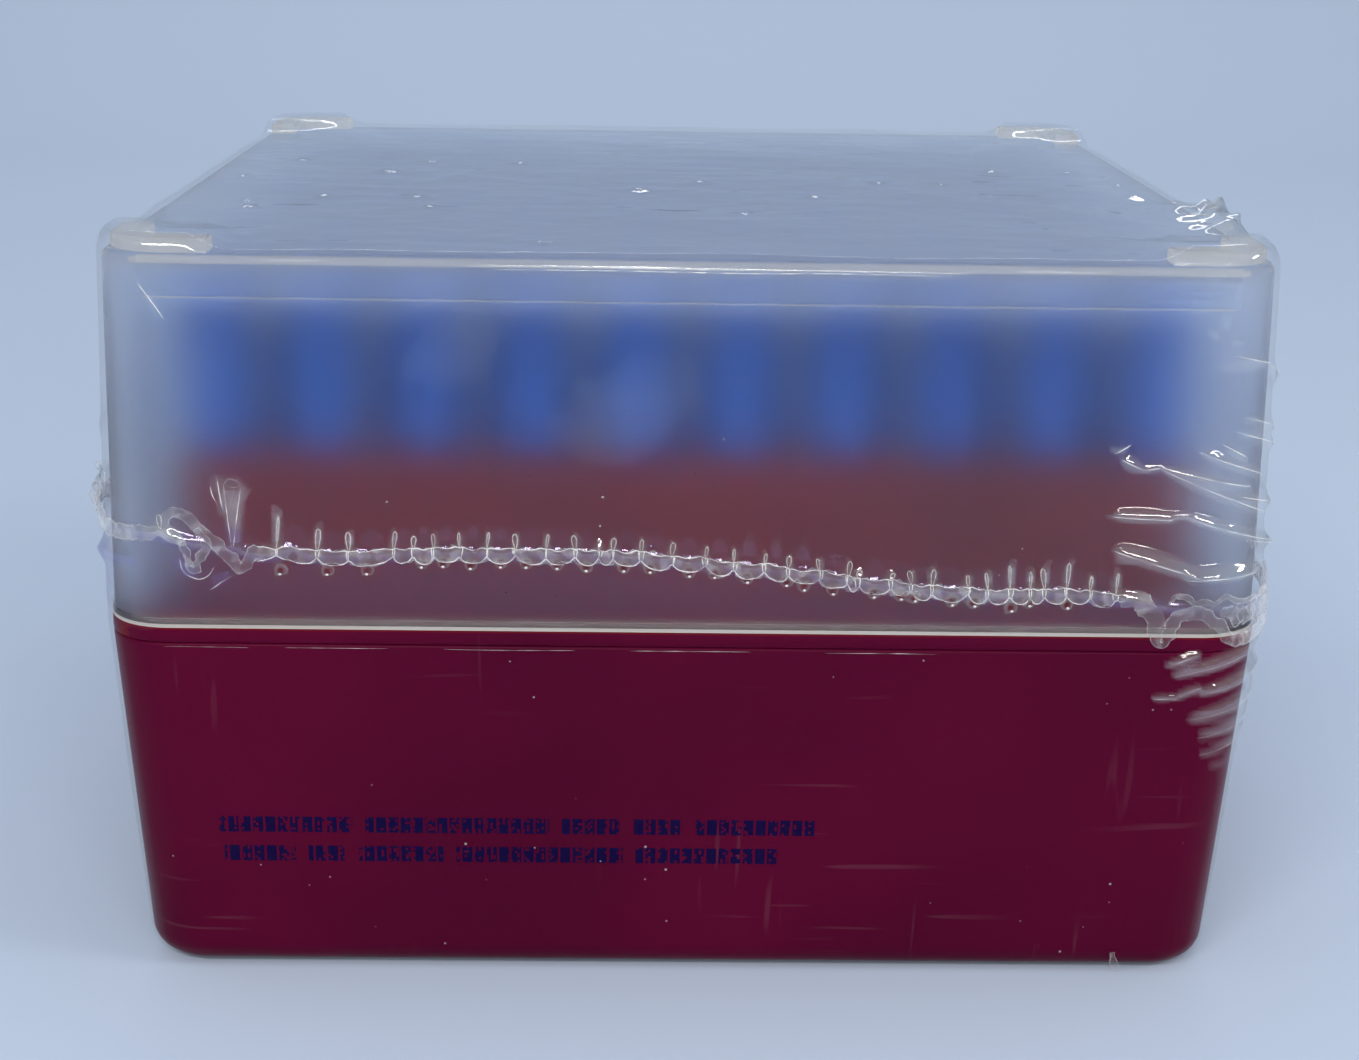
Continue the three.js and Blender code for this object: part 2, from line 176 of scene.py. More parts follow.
class Model:
    """A mesh that starts as a primitive and is shaped by operators on what is picked by place."""

    def __init__(self, name: str) -> None:
        """Takes the active object, a primitive just added, and settles its place in its mesh."""
        self.object = bpy.context.object
        self.object.name = self.object.data.name = name
        bpy.ops.object.transform_apply(location=True, rotation=True, scale=True)

    @classmethod
    def block(cls, name: str, size: Sequence[float], middle: Sequence[float]) -> "Model":
        """A block of the given size round its middle."""
        rest_selection()
        bpy.ops.mesh.primitive_cube_add(size=1, location=middle, scale=size)
        return cls(name)

    @classmethod
    def column(cls, name: str, half: float, low: float, high: float) -> "Model":
        """An upright square block on the box's axis, from one height to another."""
        return cls.block(name, (2 * half, 2 * half, high - low), (0, 0, (low + high) / 2))

    @classmethod
    def rounded(cls, name: str, half: float, low: float, high: float, corner: float) -> "Model":
        """An upright square block whose upright edges are rounded."""
        model = cls.column(name, half, low, high)
        model.round_uprights(corner, INNER_CORNER_STEPS)
        return model

    def edit(self) -> None:
        """Enters edit mode on this mesh."""
        if bpy.context.mode != "EDIT_MESH":
            activate(self.object)
            bpy.ops.object.mode_set(mode="EDIT")

    def pick(self, kind: Pick, test: Test) -> int:
        """Selects faces or edges by place.

        Args:
            kind: Whether faces or edges are picked.
            test: Takes a face's middle and normal, or an edge's middle and direction.

        Returns:
            How many were picked.
        """
        self.edit()
        bpy.ops.mesh.select_mode(type=kind.value)
        bpy.ops.mesh.select_all(action="DESELECT")
        mesh = bmesh.from_edit_mesh(self.object.data)
        chosen = 0
        if kind is Pick.FACES:
            mesh.normal_update()
            for face in mesh.faces:
                if test(face.calc_center_median(), face.normal):
                    face.select_set(True)
                    chosen += 1
        else:
            for edge in mesh.edges:
                one, other = edge.verts[0].co, edge.verts[1].co
                if test((one + other) / 2, (other - one).normalized()):
                    edge.select_set(True)
                    chosen += 1
        bmesh.update_edit_mesh(self.object.data)
        return chosen

    def pick_end(self, end: End) -> None:
        """Picks the level face at the top or the bottom."""
        self.edit()
        up = end.value
        last = max(up * vertex.co.z for vertex in bmesh.from_edit_mesh(self.object.data).verts)
        self.pick(
            Pick.FACES, lambda at, normal: up * normal.z > UPRIGHT and up * at.z > last - NEAR
        )

    def spread(self, factor: float) -> None:
        """Widens or narrows what is picked, about the box's axis."""
        bpy.ops.transform.resize(value=(factor, factor, 1), center_override=(0, 0, 0))

    def extrude(self, rise: float, factor: float = 1.0) -> None:
        """Pulls the picked face up or down, and widens or narrows it."""
        bpy.ops.mesh.extrude_region_move(TRANSFORM_OT_translate={"value": (0, 0, rise)})
        if factor != 1.0:
            self.spread(factor)

    def inset(self, width: float) -> None:
        """Insets the picked face by an even width."""
        bpy.ops.mesh.inset(thickness=width, use_even_offset=True)

    def bevel(self, width: float, steps: int) -> None:
        """Rounds the picked edges."""
        bpy.ops.mesh.bevel(
            offset_type="OFFSET", offset=width, segments=steps, profile=0.5, affect="EDGES"
        )

    def round_uprights(self, corner: float, steps: int) -> None:
        """Rounds the upright edges."""
        self.pick(Pick.EDGES, lambda at, along: abs(along.z) > UPRIGHT)
        self.bevel(corner, steps)

    def round_level_edges(self, height: float, width: float, steps: int) -> None:
        """Rounds the level edges at a height."""
        level = 1e-3
        if self.pick(
            Pick.EDGES, lambda at, along: abs(at.z - height) < NEAR and abs(along.z) < level
        ):
            self.bevel(width, steps)

    def slice(self, axis: int, place: float) -> None:
        """Cuts every face that a plane across an axis meets."""
        self.pick(Pick.FACES, lambda at, normal: True)
        at, across = [0.0, 0.0, 0.0], [0.0, 0.0, 0.0]
        at[axis], across[axis] = place, 1.0
        bpy.ops.mesh.bisect(plane_co=at, plane_no=across)

    def divide(self, axis: int, low: float, high: float, cuts: int) -> None:
        """Cuts the edges along an axis that lie between two places into equal parts."""
        straight = 0.99
        self.pick(
            Pick.EDGES,
            lambda at, along: abs(along[axis]) > straight and low < at[axis] < high,
        )
        bpy.ops.mesh.subdivide(number_cuts=cuts)

    def refine(self, test: Test) -> None:
        """Splits each picked face in four."""
        if self.pick(Pick.FACES, test):
            bpy.ops.mesh.subdivide(number_cuts=1)

    def join(self, other: "Model", how: Join) -> None:
        """Works another body into this one, or cuts it out, and removes it."""
        self.apply(
            "join", "BOOLEAN", operation=how.value, solver="EXACT", object=other.object
        )
        bpy.data.objects.remove(other.object)

    def apply(self, name: str, kind: str, **settings: Any) -> None:
        """Adds a modifier with its settings and applies it."""
        activate(self.object)
        modifier = self.object.modifiers.new(name, kind)
        for setting, value in settings.items():
            setattr(modifier, setting, value)
        bpy.ops.object.modifier_apply(modifier=modifier.name)

    def turn_outward(self) -> None:
        """Merges doubled vertices and turns every face outwards."""
        self.edit()
        bpy.ops.mesh.select_all(action="SELECT")
        bpy.ops.mesh.remove_doubles(threshold=NEAR)
        bpy.ops.mesh.normals_make_consistent(inside=False)

    def finish(self, angle: float = 35.0, weigh: bool = True) -> Piece:
        """Shades the finished mesh.

        Args:
            angle: Edges sharper than this, in degrees, stay crisp.
            weigh: Whether large faces keep their own normals.

        Returns:
            The finished object.
        """
        activate(self.object)
        bpy.ops.object.shade_smooth_by_angle(angle=math.radians(angle))
        if weigh:
            self.apply("weigh", "WEIGHTED_NORMAL", keep_sharp=True)
        rest_selection()
        return self.object


def vertices_of(piece: Piece) -> Array:
    """The places of a mesh's vertices, one row each."""
    places = np.zeros(len(piece.data.vertices) * 3)
    piece.data.vertices.foreach_get("co", places)
    return places.reshape(-1, 3)


def move_vertices(piece: Piece, places: Array) -> None:
    """Moves a mesh's vertices to new places."""
    piece.data.vertices.foreach_set("co", places.astype(np.float32).ravel())
    piece.data.update()


def ride_root(piece: Piece, slot: str, *nodes: str) -> None:
    """Puts a piece on the box's only body and hides the nodes it stands for."""
    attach(piece, "root")
    if nodes:
        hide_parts(*nodes)


# Materials


class Wiring:
    """Adds nodes to a node tree and links them."""

    def __init__(self, tree: Tree) -> None:
        """Works on an empty tree."""
        self.tree = tree

    def node(self, kind: str, inputs: Optional[Dict[Any, Any]] = None, **settings: Any) -> Any:
        """A node with its settings.

        Args:
            kind: The node's type, without the prefix of its class.
            inputs: Values or sockets for its inputs, by name or number.
            **settings: Its own properties.

        Returns:
            The node.
        """
        made = self.tree.nodes.new("ShaderNode" + kind)
        for setting, value in settings.items():
            setattr(made, setting, value)
        for key, value in (inputs or {}).items():
            if isinstance(value, bpy.types.NodeSocket):
                self.tree.links.new(value, made.inputs[key])
            else:
                made.inputs[key].default_value = value
        return made

    def math(self, operation: str, one: Any, other: Any = 0.0, third: Any = 0.0) -> Any:
        """The result of a Math node."""
        node = self.node("Math", {0: one, 1: other, 2: third}, operation=operation)
        return node.outputs[0]

    def total(self, first: Any, *others: Any) -> Any:
        """The sum of several values."""
        for other in others:
            first = self.math("ADD", first, other)
        return first

    def product(self, first: Any, *others: Any) -> Any:
        """The product of several values."""
        for other in others:
            first = self.math("MULTIPLY", first, other)
        return first

    def within(self, value: Any, low: float, high: float) -> Any:
        """One where a value lies between two limits, else zero."""
        half = (high - low) / 2
        return self.math("COMPARE", value, low + half, half)

    def smooth(self, value: Any, low: float, high: float) -> Any:
        """A value that rises smoothly from zero to one between two limits."""
        node = self.node(
            "MapRange",
            {"Value": value, "From Min": low, "From Max": high},
            interpolation_type="SMOOTHSTEP",
        )
        return node.outputs["Result"]

    def scaled(self, value: Any, low: float, high: float) -> Any:
        """Zero to one, taken to a range."""
        node = self.node("MapRange", {"Value": value, "To Min": low, "To Max": high})
        return node.outputs["Result"]

    def blend(self, share: Any, one: Any, other: Any, how: str = "MIX") -> Any:
        """Two colours mixed by a share."""
        node = self.node(
            "Mix", {"Factor": share, 6: one, 7: other}, data_type="RGBA", blend_type=how
        )
        return node.outputs[2]

    def place(self) -> Any:
        """The place on the piece, in metres."""
        return self.node("TexCoord").outputs["Object"]

    def group(self, tree: Tree, **inputs: float) -> Any:
        """A node group with its values, named with underscores for spaces."""
        made = self.node("Group")
        made.node_tree = tree
        for name, value in inputs.items():
            made.inputs[name.replace("_", " ")].default_value = value
        return made

    def noise(self, scale: Any, detail: float, place: Any = None) -> Any:
        """A noise over the piece, or over another place, from zero to one."""
        place = self.place() if place is None else place
        node = self.node("TexNoise", {"Vector": place, "Scale": scale, "Detail": detail})
        return node.outputs["Fac"]

    def dice(self, place: Any) -> Any:
        """A node whose outputs are random for each place."""
        return self.node("TexWhiteNoise", {"Vector": place}, noise_dimensions="3D")

    def bump(self, height: Any, strength: float, distance: float) -> Any:
        """The normal of a bumpy surface."""
        inputs = {"Height": height, "Strength": strength, "Distance": distance}
        return self.node("Bump", inputs).outputs["Normal"]

    def veil(self, share: Any, under: Any, over: Any) -> Any:
        """Two shaders mixed: the share is the second's."""
        return self.node("MixShader", {0: share, 1: under.outputs[0], 2: over.outputs[0]})

    def ray(self, kind: str) -> Any:
        """One for light rays of a kind, else zero."""
        return self.node("LightPath").outputs[f"Is {kind} Ray"]

    def show(self, shader: Any, output: str = "OutputMaterial") -> None:
        """Makes a shader the result of the whole tree."""
        self.tree.links.new(shader.outputs[0], self.node(output).inputs["Surface"])


def new_group(
    name: str, inputs: Dict[str, float], outputs: Sequence[str]
) -> Tuple[Tree, Wiring, Any, Any]:
    """An empty node group.

    Args:
        name: Its name.
        inputs: Its input values and their defaults.
        outputs: The names of its output values.

    Returns:
        The group, its wiring, its input node and its output node.
    """
    tree = bpy.data.node_groups.new(name, "ShaderNodeTree")
    for label, value in inputs.items():
        socket = tree.interface.new_socket(label, in_out="INPUT", socket_type="NodeSocketFloat")
        socket.default_value = value
    for label in outputs:
        tree.interface.new_socket(label, in_out="OUTPUT", socket_type="NodeSocketFloat")
    wiring = Wiring(tree)
    start, end = tree.nodes.new("NodeGroupInput"), tree.nodes.new("NodeGroupOutput")
    return tree, wiring, start, end


@dataclass
class Effects:
    """Node groups that several finishes share."""

    grain: Any = None  # The fine texture that a mould leaves
    dust: Any = None  # Scattered specks
    scuffs: Any = None  # Fine scratches and rubbed patches
    mottle: Any = None  # Slow drifts of tone

    def build(self) -> None:
        """Makes the groups."""
        self.grain = self.make_grain()
        self.dust = self.make_dust()
        self.scuffs = self.make_scuffs()
        self.mottle = self.make_mottle()

    @staticmethod
    def make_grain() -> Tree:
        """Fine texture, and waves about thirty times as long."""
        wave_scale = 0.035
        tree, w, start, end = new_group(
            "moulded grain", {"Pitch": 0.0004, "Waviness": 0.2}, ["Height", "Tone"]
        )
        at = w.place()
        scale = w.math("DIVIDE", 1.0, start.outputs["Pitch"])
        coarse = w.noise(w.product(scale, wave_scale), 0.0, at)
        waves = w.product(coarse, start.outputs["Waviness"])
        tree.links.new(w.total(w.noise(scale, 1.0, at), waves), end.inputs["Height"])
        tree.links.new(coarse, end.inputs["Tone"])
        return tree

    @staticmethod
    def make_dust() -> Tree:
        """Specks of uneven size, one at a random place in some of the cells of a grid."""
        margin, room, shuffle = (0.2, 0.2, 0.2), (0.6, 0.6, 0.6), 7.0
        tree, w, start, end = new_group(
            "dust specks", {"Spacing": DUST_SPACING, "Size": 0.08, "Share": 0.5}, ["Mask"]
        )
        scale = w.math("DIVIDE", 1.0, start.outputs["Spacing"])
        place = w.node("VectorMath", {0: w.place(), "Scale": scale}, operation="SCALE").outputs[0]
        cell = w.node("VectorMath", {0: place}, operation="FLOOR").outputs[0]
        inside = w.node("VectorMath", {0: place}, operation="FRACTION").outputs[0]
        random = w.dice(cell)
        shift = w.node(
            "VectorMath", {0: random.outputs["Color"], 1: room, 2: margin},
            operation="MULTIPLY_ADD",
        ).outputs[0]
        far = w.node("VectorMath", {0: inside, 1: shift}, operation="DISTANCE").outputs["Value"]
        chance = w.math("FRACT", w.product(random.outputs["Value"], shuffle))
        near = w.math("LESS_THAN", far, w.product(chance, start.outputs["Size"]))
        some = w.math("LESS_THAN", random.outputs["Value"], start.outputs["Share"])
        tree.links.new(w.product(near, some), end.inputs["Mask"])
        return tree

    @staticmethod
    def make_scuffs() -> Tree:
        """Fine lines in two directions, in rubbed patches."""
        directions = ((0.5, (900.0, 60.0, 60.0)), (-0.9, (60.0, 60.0, 1100.0)))
        tree, w, start, end = new_group("scuffs", {"Amount": 0.5}, ["Mask"])
        at = w.place()
        lines = []
        for turn, stretch in directions:
            turned = w.node(
                "Mapping",
                {"Vector": at, "Rotation": (0.3 * turn, turn, turn), "Scale": stretch},
            )
            lines.append(w.smooth(w.noise(1.0, 0.0, turned.outputs[0]), 0.72, 0.78))
        rubbed = w.smooth(w.noise(45.0, 1.0, at), 0.5, 0.68)
        mask = w.product(w.math("MAXIMUM", *lines), rubbed, start.outputs["Amount"])
        tree.links.new(mask, end.inputs["Mask"])
        return tree

    @staticmethod
    def make_mottle() -> Tree:
        """Slow drifts of tone."""
        tree, w, start, end = new_group("mottle", {"Pitch": 0.03}, ["Tone"])
        scale = w.math("DIVIDE", 1.0, start.outputs["Pitch"])
        tree.links.new(w.smooth(w.noise(scale, 2.0), 0.3, 0.7), end.inputs["Tone"])
        return tree


def new_material(name: str) -> Tuple[Material, Wiring]:
    """An empty material and its wiring."""
    material = bpy.data.materials.new(name)
    material.use_nodes = True
    material.node_tree.nodes.clear()
    return material, Wiring(material.node_tree)


@dataclass(frozen=True)
class MouldedPlastic:
    """Opaque glossy plastic from a mould, with dust and faint scuffs."""

    name: str  # The material's name
    colour: Colour  # Its main colour
    deep: Colour  # The colour of its darker drifts
    roughness: float  # Its middle roughness
    gloss: float  # Its specular level
    dust: float  # The share of places that hold a speck
    uneven: float = 0.07  # How far its roughness drifts up and down
    index: float = 1.49  # Its index of refraction
    grain_depth: float = 0.00004  # Depth of its grain
    scuff_colour: Colour = srgb(190, 150, 160)  # The colour of its scuffs
    scuff_share: float = 0.12  # How much they show
    scuff_rough: float = 0.3  # How much rougher they are
    speck_colour: Colour = srgb(200, 170, 175)  # The colour of the dust
    speck_share: float = 0.55  # How much it shows

    def surface(self, effects: Effects) -> Tuple[Material, Wiring, Any, Any]:
        """Builds the material.

        Args:
            effects: The shared groups.

        Returns:
            The material, its wiring, the socket with its colour and its shader.
        """
        material, w = new_material(self.name)
        grain = w.group(effects.grain, Pitch=0.00035, Waviness=1.2)
        mottle = w.group(effects.mottle, Pitch=0.035).outputs[0]
        dust = w.group(
            effects.dust, Spacing=DUST_SPACING, Size=0.05, Share=self.dust
        ).outputs[0]
        scuffs = w.group(effects.scuffs, Amount=0.35).outputs[0]
        colour = w.blend(mottle, self.deep, self.colour)
        colour = w.blend(w.product(scuffs, self.scuff_share), colour, self.scuff_colour)
        colour = w.blend(w.product(dust, self.speck_share), colour, self.speck_colour)
        rough = w.scaled(
            grain.outputs["Tone"], self.roughness - self.uneven, self.roughness + self.uneven
        )
        shader = w.node("BsdfPrincipled", {
            "Base Color": colour, "Roughness": w.total(rough, w.product(scuffs, self.scuff_rough)),
            "Normal": w.bump(grain.outputs["Height"], 0.25, self.grain_depth),
            "Specular IOR Level": self.gloss, "IOR": self.index,
        })
        w.show(shader)
        return material, w, colour, shader

    def build(self, effects: Effects) -> Material:
        """The plain material."""
        return self.surface(effects)[0]


@dataclass(frozen=True)
class PrintedPlastic(MouldedPlastic):
    """Moulded plastic with two rows of ink-jet dots on its front."""

    face_y: float = -0.055  # Places further back than this take no ink
    dot: float = 0.00027  # The pitch of the dots
    dot_share: float = 0.6  # The share of single dots that are printed
    stroke_share: float = 0.5  # The share of upright lines of dots that are printed whole
    # A dot's square radius up to which it is solid, as a share of the pitch
    dot_core: float = 0.36
    dot_rim: float = 0.5  # The square radius where it ends
    pitch: float = 0.00136  # The pitch of the short bars that the rows are broken into
    bar_share: float = 0.82  # The share of that pitch that a bar fills
    ink: Colour = srgb(8, 5, 56)  # The ink's colour
    strength: float = 0.97  # How much of it covers the plastic
    # Each row's lower and upper height and its blocks, start and end along x
    rows: Tuple[Tuple[float, float, Tuple[Point, ...]], ...] = (
        (17.25, 19.15, (
            (-51.3, -36.6), (-35.2, -14.8), (-13.4, -6.8), (-5.4, 0.0), (1.5, 14.8),
        )),
        (13.7, 15.6, (
            (-50.9, -43.0), (-41.6, -37.6), (-36.0, -26.6), (-25.2, -6.6), (-5.2, 10.6),
        )),
    )

    def dots(self, w: Wiring, x: Any, z: Any) -> Any:
        """A mask of the printed dots, broken into short bars.

        Args:
            w: The material's wiring.
            x: Places along the front.
            z: Heights.

        Returns:
            One on a printed dot, zero between the dots.
        """
        across, up = (w.math("DIVIDE", value, self.dot) for value in (x, z))
        column = {0: w.math("FLOOR", across)}
        single, stroke = (
            w.dice(w.node("CombineXYZ", cell).outputs[0]).outputs["Value"]
            for cell in ({**column, 2: w.math("FLOOR", up)}, column)
        )
        printed = w.math(
            "MAXIMUM",
            w.math("LESS_THAN", single, self.dot_share),
            w.math("LESS_THAN", stroke, self.stroke_share),
        )
        bar = w.math("LESS_THAN", w.math("FRACT", w.math("DIVIDE", x, self.pitch)), self.bar_share)
        off = [w.math("SUBTRACT", w.math("FRACT", value), 0.5) for value in (across, up)]
        far = w.total(*(w.product(value, value) for value in off))
        round_dot = w.math("SUBTRACT", 1.0, w.smooth(far, self.dot_core, self.dot_rim))
        return w.product(printed, bar, round_dot)

    def blocks(self, w: Wiring, x: Any, z: Any) -> Any:
        """A mask of the rows' blocks, from the same values as the dots."""
        rows = []
        for low, high, blocks in self.rows:
            spans = [w.within(x, start * MM, end * MM) for start, end in blocks]
            rows.append(w.product(w.total(*spans), w.within(z, low * MM, high * MM)))
        return w.total(*rows)

    def build(self, effects: Effects) -> Material:
        """The material with its rows of dots."""
        material, w, colour, shader = self.surface(effects)
        x, y, z = w.node("SeparateXYZ", {"Vector": w.place()}).outputs
        front = w.math("LESS_THAN", y, self.face_y)
        mask = w.product(self.blocks(w, x, z), front, self.dots(w, x, z), self.strength)
        final = w.blend(mask, colour, self.ink)
        material.node_tree.links.new(final, shader.inputs["Base Color"])
        return material


@dataclass(frozen=True)
class FrostedPlastic:
    """Milky see-through plastic that blurs what stands behind it."""

    name: str = "frosted_lid"  # The material's name
    tint: Colour = srgb(226, 234, 246)  # Its colour
    roughness: float = 0.97  # How much it blurs
    clear_share: float = 0.997  # The share of light that goes through
    shade: Colour = (0.5, 0.51, 0.53, 1.0)  # What it lets through to light what is inside
    index: float = 1.37  # Its index of refraction
    gloss: float = 0.15  # Its specular level
    whiter: float = 0.25  # How much whiter its tint drifts
    uneven: float = 0.03  # How far its roughness drifts up and down

    def build(self, effects: Effects) -> Material:
        """Builds the material."""
        material, w = new_material(self.name)
        mottle = w.group(effects.mottle, Pitch=0.012).outputs["Tone"]
        shader = w.node("BsdfPrincipled", {
            "Base Color": w.blend(w.scaled(mottle, 0.0, self.whiter), self.tint, WHITE),
            "Roughness": w.scaled(
                mottle, self.roughness - self.uneven, self.roughness + self.uneven
            ),
            "IOR": self.index, "Transmission Weight": self.clear_share,
            "Specular IOR Level": self.gloss,
        })
        through = w.node("BsdfTransparent", {"Color": self.shade})
        w.show(w.veil(w.ray("Shadow"), shader, through))
        return material


@dataclass(frozen=True)
class ClearFilm:
    """Thin clear shrink film that shows by its reflections and its dust, with a painted bluish
    reflection where it is slack and painted dark red shade in its dents.
    """

    least_share: float = 0.012  # A smaller share of reflected light than this counts as none
    rim_sheen: float = 0.42  # The share of light that one face reflects, seen edge on
    rim_power: float = 5.0  # How fast that share grows towards the edge
    fold_sheen: float = 0.22  # The further share that it reflects where it is gathered
    slack_sheen: float = 0.05  # The further share that it reflects where it is slack, in a painted bluish reflection colour
    roughness: float = 0.07  # Its roughness
    colour: Colour = srgb(255, 252, 246)  # The colour of its reflections
    slack_painted_reflection: Colour = srgb(178, 168, 232)  # Painted bluish reflection colour where it is slack
    dent_shade: float = 0.55  # How much painted dark red shade covers its dents
    dent_painted_shade: Colour = srgb(118, 16, 24)  # The painted shade colour of its dents
    clear: Colour = (0.99, 0.99, 0.99, 1.0)  # What it lets through
    wave_scale: float = 230.0  # How many of its small waves a metre holds
    top_waves: float = 9.0  # How much stronger they are on the top
    top_sheen: float = 0.1  # The further share that it reflects on the top
    top_from: float = 0.0818  # Height where the top begins
    top_blend: float = 0.0004  # How much higher it has begun fully
    speck_size: float = 0.06  # The size of its dust, as a share of the spacing
    speck_sheen: float = 0.4  # The further share that the dust reflects
    speck_rough: float = 0.6  # How much rougher the dust is

    def build(self, effects: Effects) -> Material:
        """Builds the material."""
        material, w = new_material("film_outside")
        dust = w.group(
            effects.dust, Spacing=DUST_SPACING, Size=self.speck_size, Share=0.5
        ).outputs[0]
        height = w.node("SeparateXYZ", {"Vector": w.place()}).outputs[2]
        top = w.smooth(height, self.top_from, self.top_from + self.top_blend)
        gathered, slack = (
            w.node("Attribute", attribute_name=name).outputs["Fac"] for name in (GATHERED, SLACK)
        )
        slack_reflection_mask = w.math("MAXIMUM", slack, 0.0)
        dent_shade_mask = w.math("MAXIMUM", w.product(slack, -1.0), 0.0)
        facing = w.node("LayerWeight", {"Blend": 0.5}).outputs["Facing"]
        share = w.total(
            w.product(w.math("POWER", facing, self.rim_power), self.rim_sheen),
            w.product(gathered, self.fold_sheen),
            w.product(top, self.top_sheen),
            w.product(slack_reflection_mask, self.slack_sheen),
            w.product(dent_shade_mask, self.dent_shade),
            w.product(dust, self.speck_sheen),
        )
        share = w.product(share, w.math("GREATER_THAN", share, self.least_share))
        waves = w.product(w.noise(self.wave_scale, 1.0), w.scaled(top, 1.0, self.top_waves))
        # Painted reflection: the reflections turn bluish where the film is slack
        tint = w.blend(slack_reflection_mask, self.colour, self.slack_painted_reflection)
        shader = w.node("BsdfPrincipled", {
            # Painted shade: the dents turn dark red
            "Base Color": w.blend(dent_shade_mask, tint, self.dent_painted_shade), "Metallic": 1.0,
            "Roughness": w.total(self.roughness, w.product(dust, self.speck_rough)),
            "Normal": w.bump(waves, 0.15, 0.0002),
        })
        through = w.node("BsdfTransparent", {"Color": self.clear})
        w.show(w.veil(w.ray("Camera"), through, w.veil(share, through, shader)))
        return material

    def build_inside(self) -> Material:
        """The film's inner face, which lies on the box and reflects nothing of its own."""
        material, w = new_material("film_inside")
        shader = w.node("BsdfPrincipled", {"Base Color": self.colour, "Roughness": 0.1})
        through = w.node("BsdfTransparent", {"Color": self.clear})
        w.show(w.veil(0.0, through, shader))
        return material


@dataclass(frozen=True)
class WeldedFilm:
    """Shrunken film in the weld: glassy, whitish where it is thick or seen edge on."""

    name: str  # The material's name
    body: float  # The share of light that it reflects, seen straight on
    edge: float  # The further share that it reflects, seen edge on
    cloud: float  # The further share that it reflects in its cloudy spots
    colour: Colour = srgb(240, 238, 236)  # Its colour
    clear: Colour = (0.95, 0.95, 0.95, 1.0)  # What it lets through
    edge_power: float = 2.6  # How fast that share grows towards the edge
    roughness: float = 0.16  # Its roughness
    index: float = 1.5  # Its index of refraction
    gloss: float = 0.9  # Its specular level
    crumple: float = 0.00012  # Depth of its crumples

    def build(self, effects: Effects) -> Material:
        """Builds the material."""
        material, w = new_material(self.name)
        grain = w.group(effects.grain, Pitch=0.0006, Waviness=1.0)
        facing = w.node("LayerWeight", {"Blend": 0.45}).outputs["Facing"]
        rim = w.product(w.math("POWER", facing, self.edge_power), self.edge)
        cloudy = w.product(w.smooth(w.noise(700.0, 1.0), 0.5, 0.7), self.cloud)
        shader = w.node("BsdfPrincipled", {
            "Base Color": self.colour, "Roughness": self.roughness, "IOR": self.index,
            "Specular IOR Level": self.gloss,
            "Normal": w.bump(grain.outputs["Height"], 0.5, self.crumple),
        })
        through = w.node("BsdfTransparent", {"Color": self.clear})
        seen = w.veil(w.total(rim, self.body, cloudy), through, shader)
        w.show(w.veil(w.ray("Camera"), through, seen))
        return material


@dataclass(frozen=True)
class StudioPaper:
    """The pale matt paper that the box stands on."""

    colour: Colour = srgb(212, 224, 242)  # Its colour

    def build(self) -> Material:
        """Builds the material."""
        material, w = new_material("studio_paper")
        w.show(w.node("BsdfPrincipled", {
            "Base Color": self.colour, "Roughness": 0.8, "Specular IOR Level": 0.2,
            "Normal": w.bump(w.noise(900.0, 3.0), 0.1, 0.0001),
        }))
        return material


@dataclass
class Finishes:
    """Every material of the box."""

    effects: Effects = field(default_factory=Effects)  # The node groups that they share
    tray: Any = None  # Printed burgundy plastic
    rack: Any = None  # Burgundy plastic
    tips: Any = None  # Blue plastic
    lid: Any = None  # Frosted plastic
    lid_edge_highlight: Any = None  # The same, whiter and more diffuse, on the lid's rim: a painted highlight
    lid_round_highlight: Any = None  # The same, whiter, on its rounded top edge, its lugs and its ledge line: a painted highlight
    film: Any = None  # The film's outer face
    film_inside: Any = None  # Its inner face
    weld: Any = None  # The weld's bead
    pleats: Any = None  # The pleats' loops on it: folded edges, whitish as a painted highlight
    highlight_strands: Any = None  # Painted highlights: whitish strands for bright creases, hems and drops

    def build(self) -> None:
        """Makes the materials."""
        self.effects.build()
        film = ClearFilm()
        for name, plan in {
            "tray": PrintedPlastic(
                "burgundy_tray", srgb(89, 4, 41), srgb(78, 3, 37), 0.34, 0.06, 0.3
            ),
            "rack": MouldedPlastic(
                "burgundy_rack", srgb(104, 3, 26), srgb(95, 3, 24), 0.4, 0.08, 0.15
            ),
            "tips": MouldedPlastic(
                "blue_tips", srgb(34, 82, 152), srgb(30, 75, 144), 0.35, 0.15, 0.0
            ),
            "lid": FrostedPlastic(),
            "lid_edge_highlight": FrostedPlastic("frosted_edge_highlight", srgb(252, 240, 226), 0.4, 0.5),
            "lid_round_highlight": FrostedPlastic("frosted_round_highlight", srgb(246, 241, 232), 0.85, 0.86),
            "film": film,
            "weld": WeldedFilm("welded_film", 0.03, 1.3, 0.12),
            # The pleat loops are whitish: partly their folded edges, partly a painted highlight
            "pleats": WeldedFilm("pleated_film_highlight", 0.22, 0.7, 0.1, srgb(250, 240, 228)),
            # Painted highlights: a whitish film for the strands that stand in for bright lines and
            # glints
            "highlight_strands": WeldedFilm("highlight_film", 0.6, 0.4, 0.1, srgb(252, 246, 238)),
        }.items():
            setattr(self, name, plan.build(self.effects))
        self.film_inside = film.build_inside()


def dress(piece: Piece, *materials: Material) -> None:
    """Gives a piece its materials, in the order of its faces' numbers."""
    piece.data.materials.clear()
    for material in materials:
        piece.data.materials.append(material)


# The box


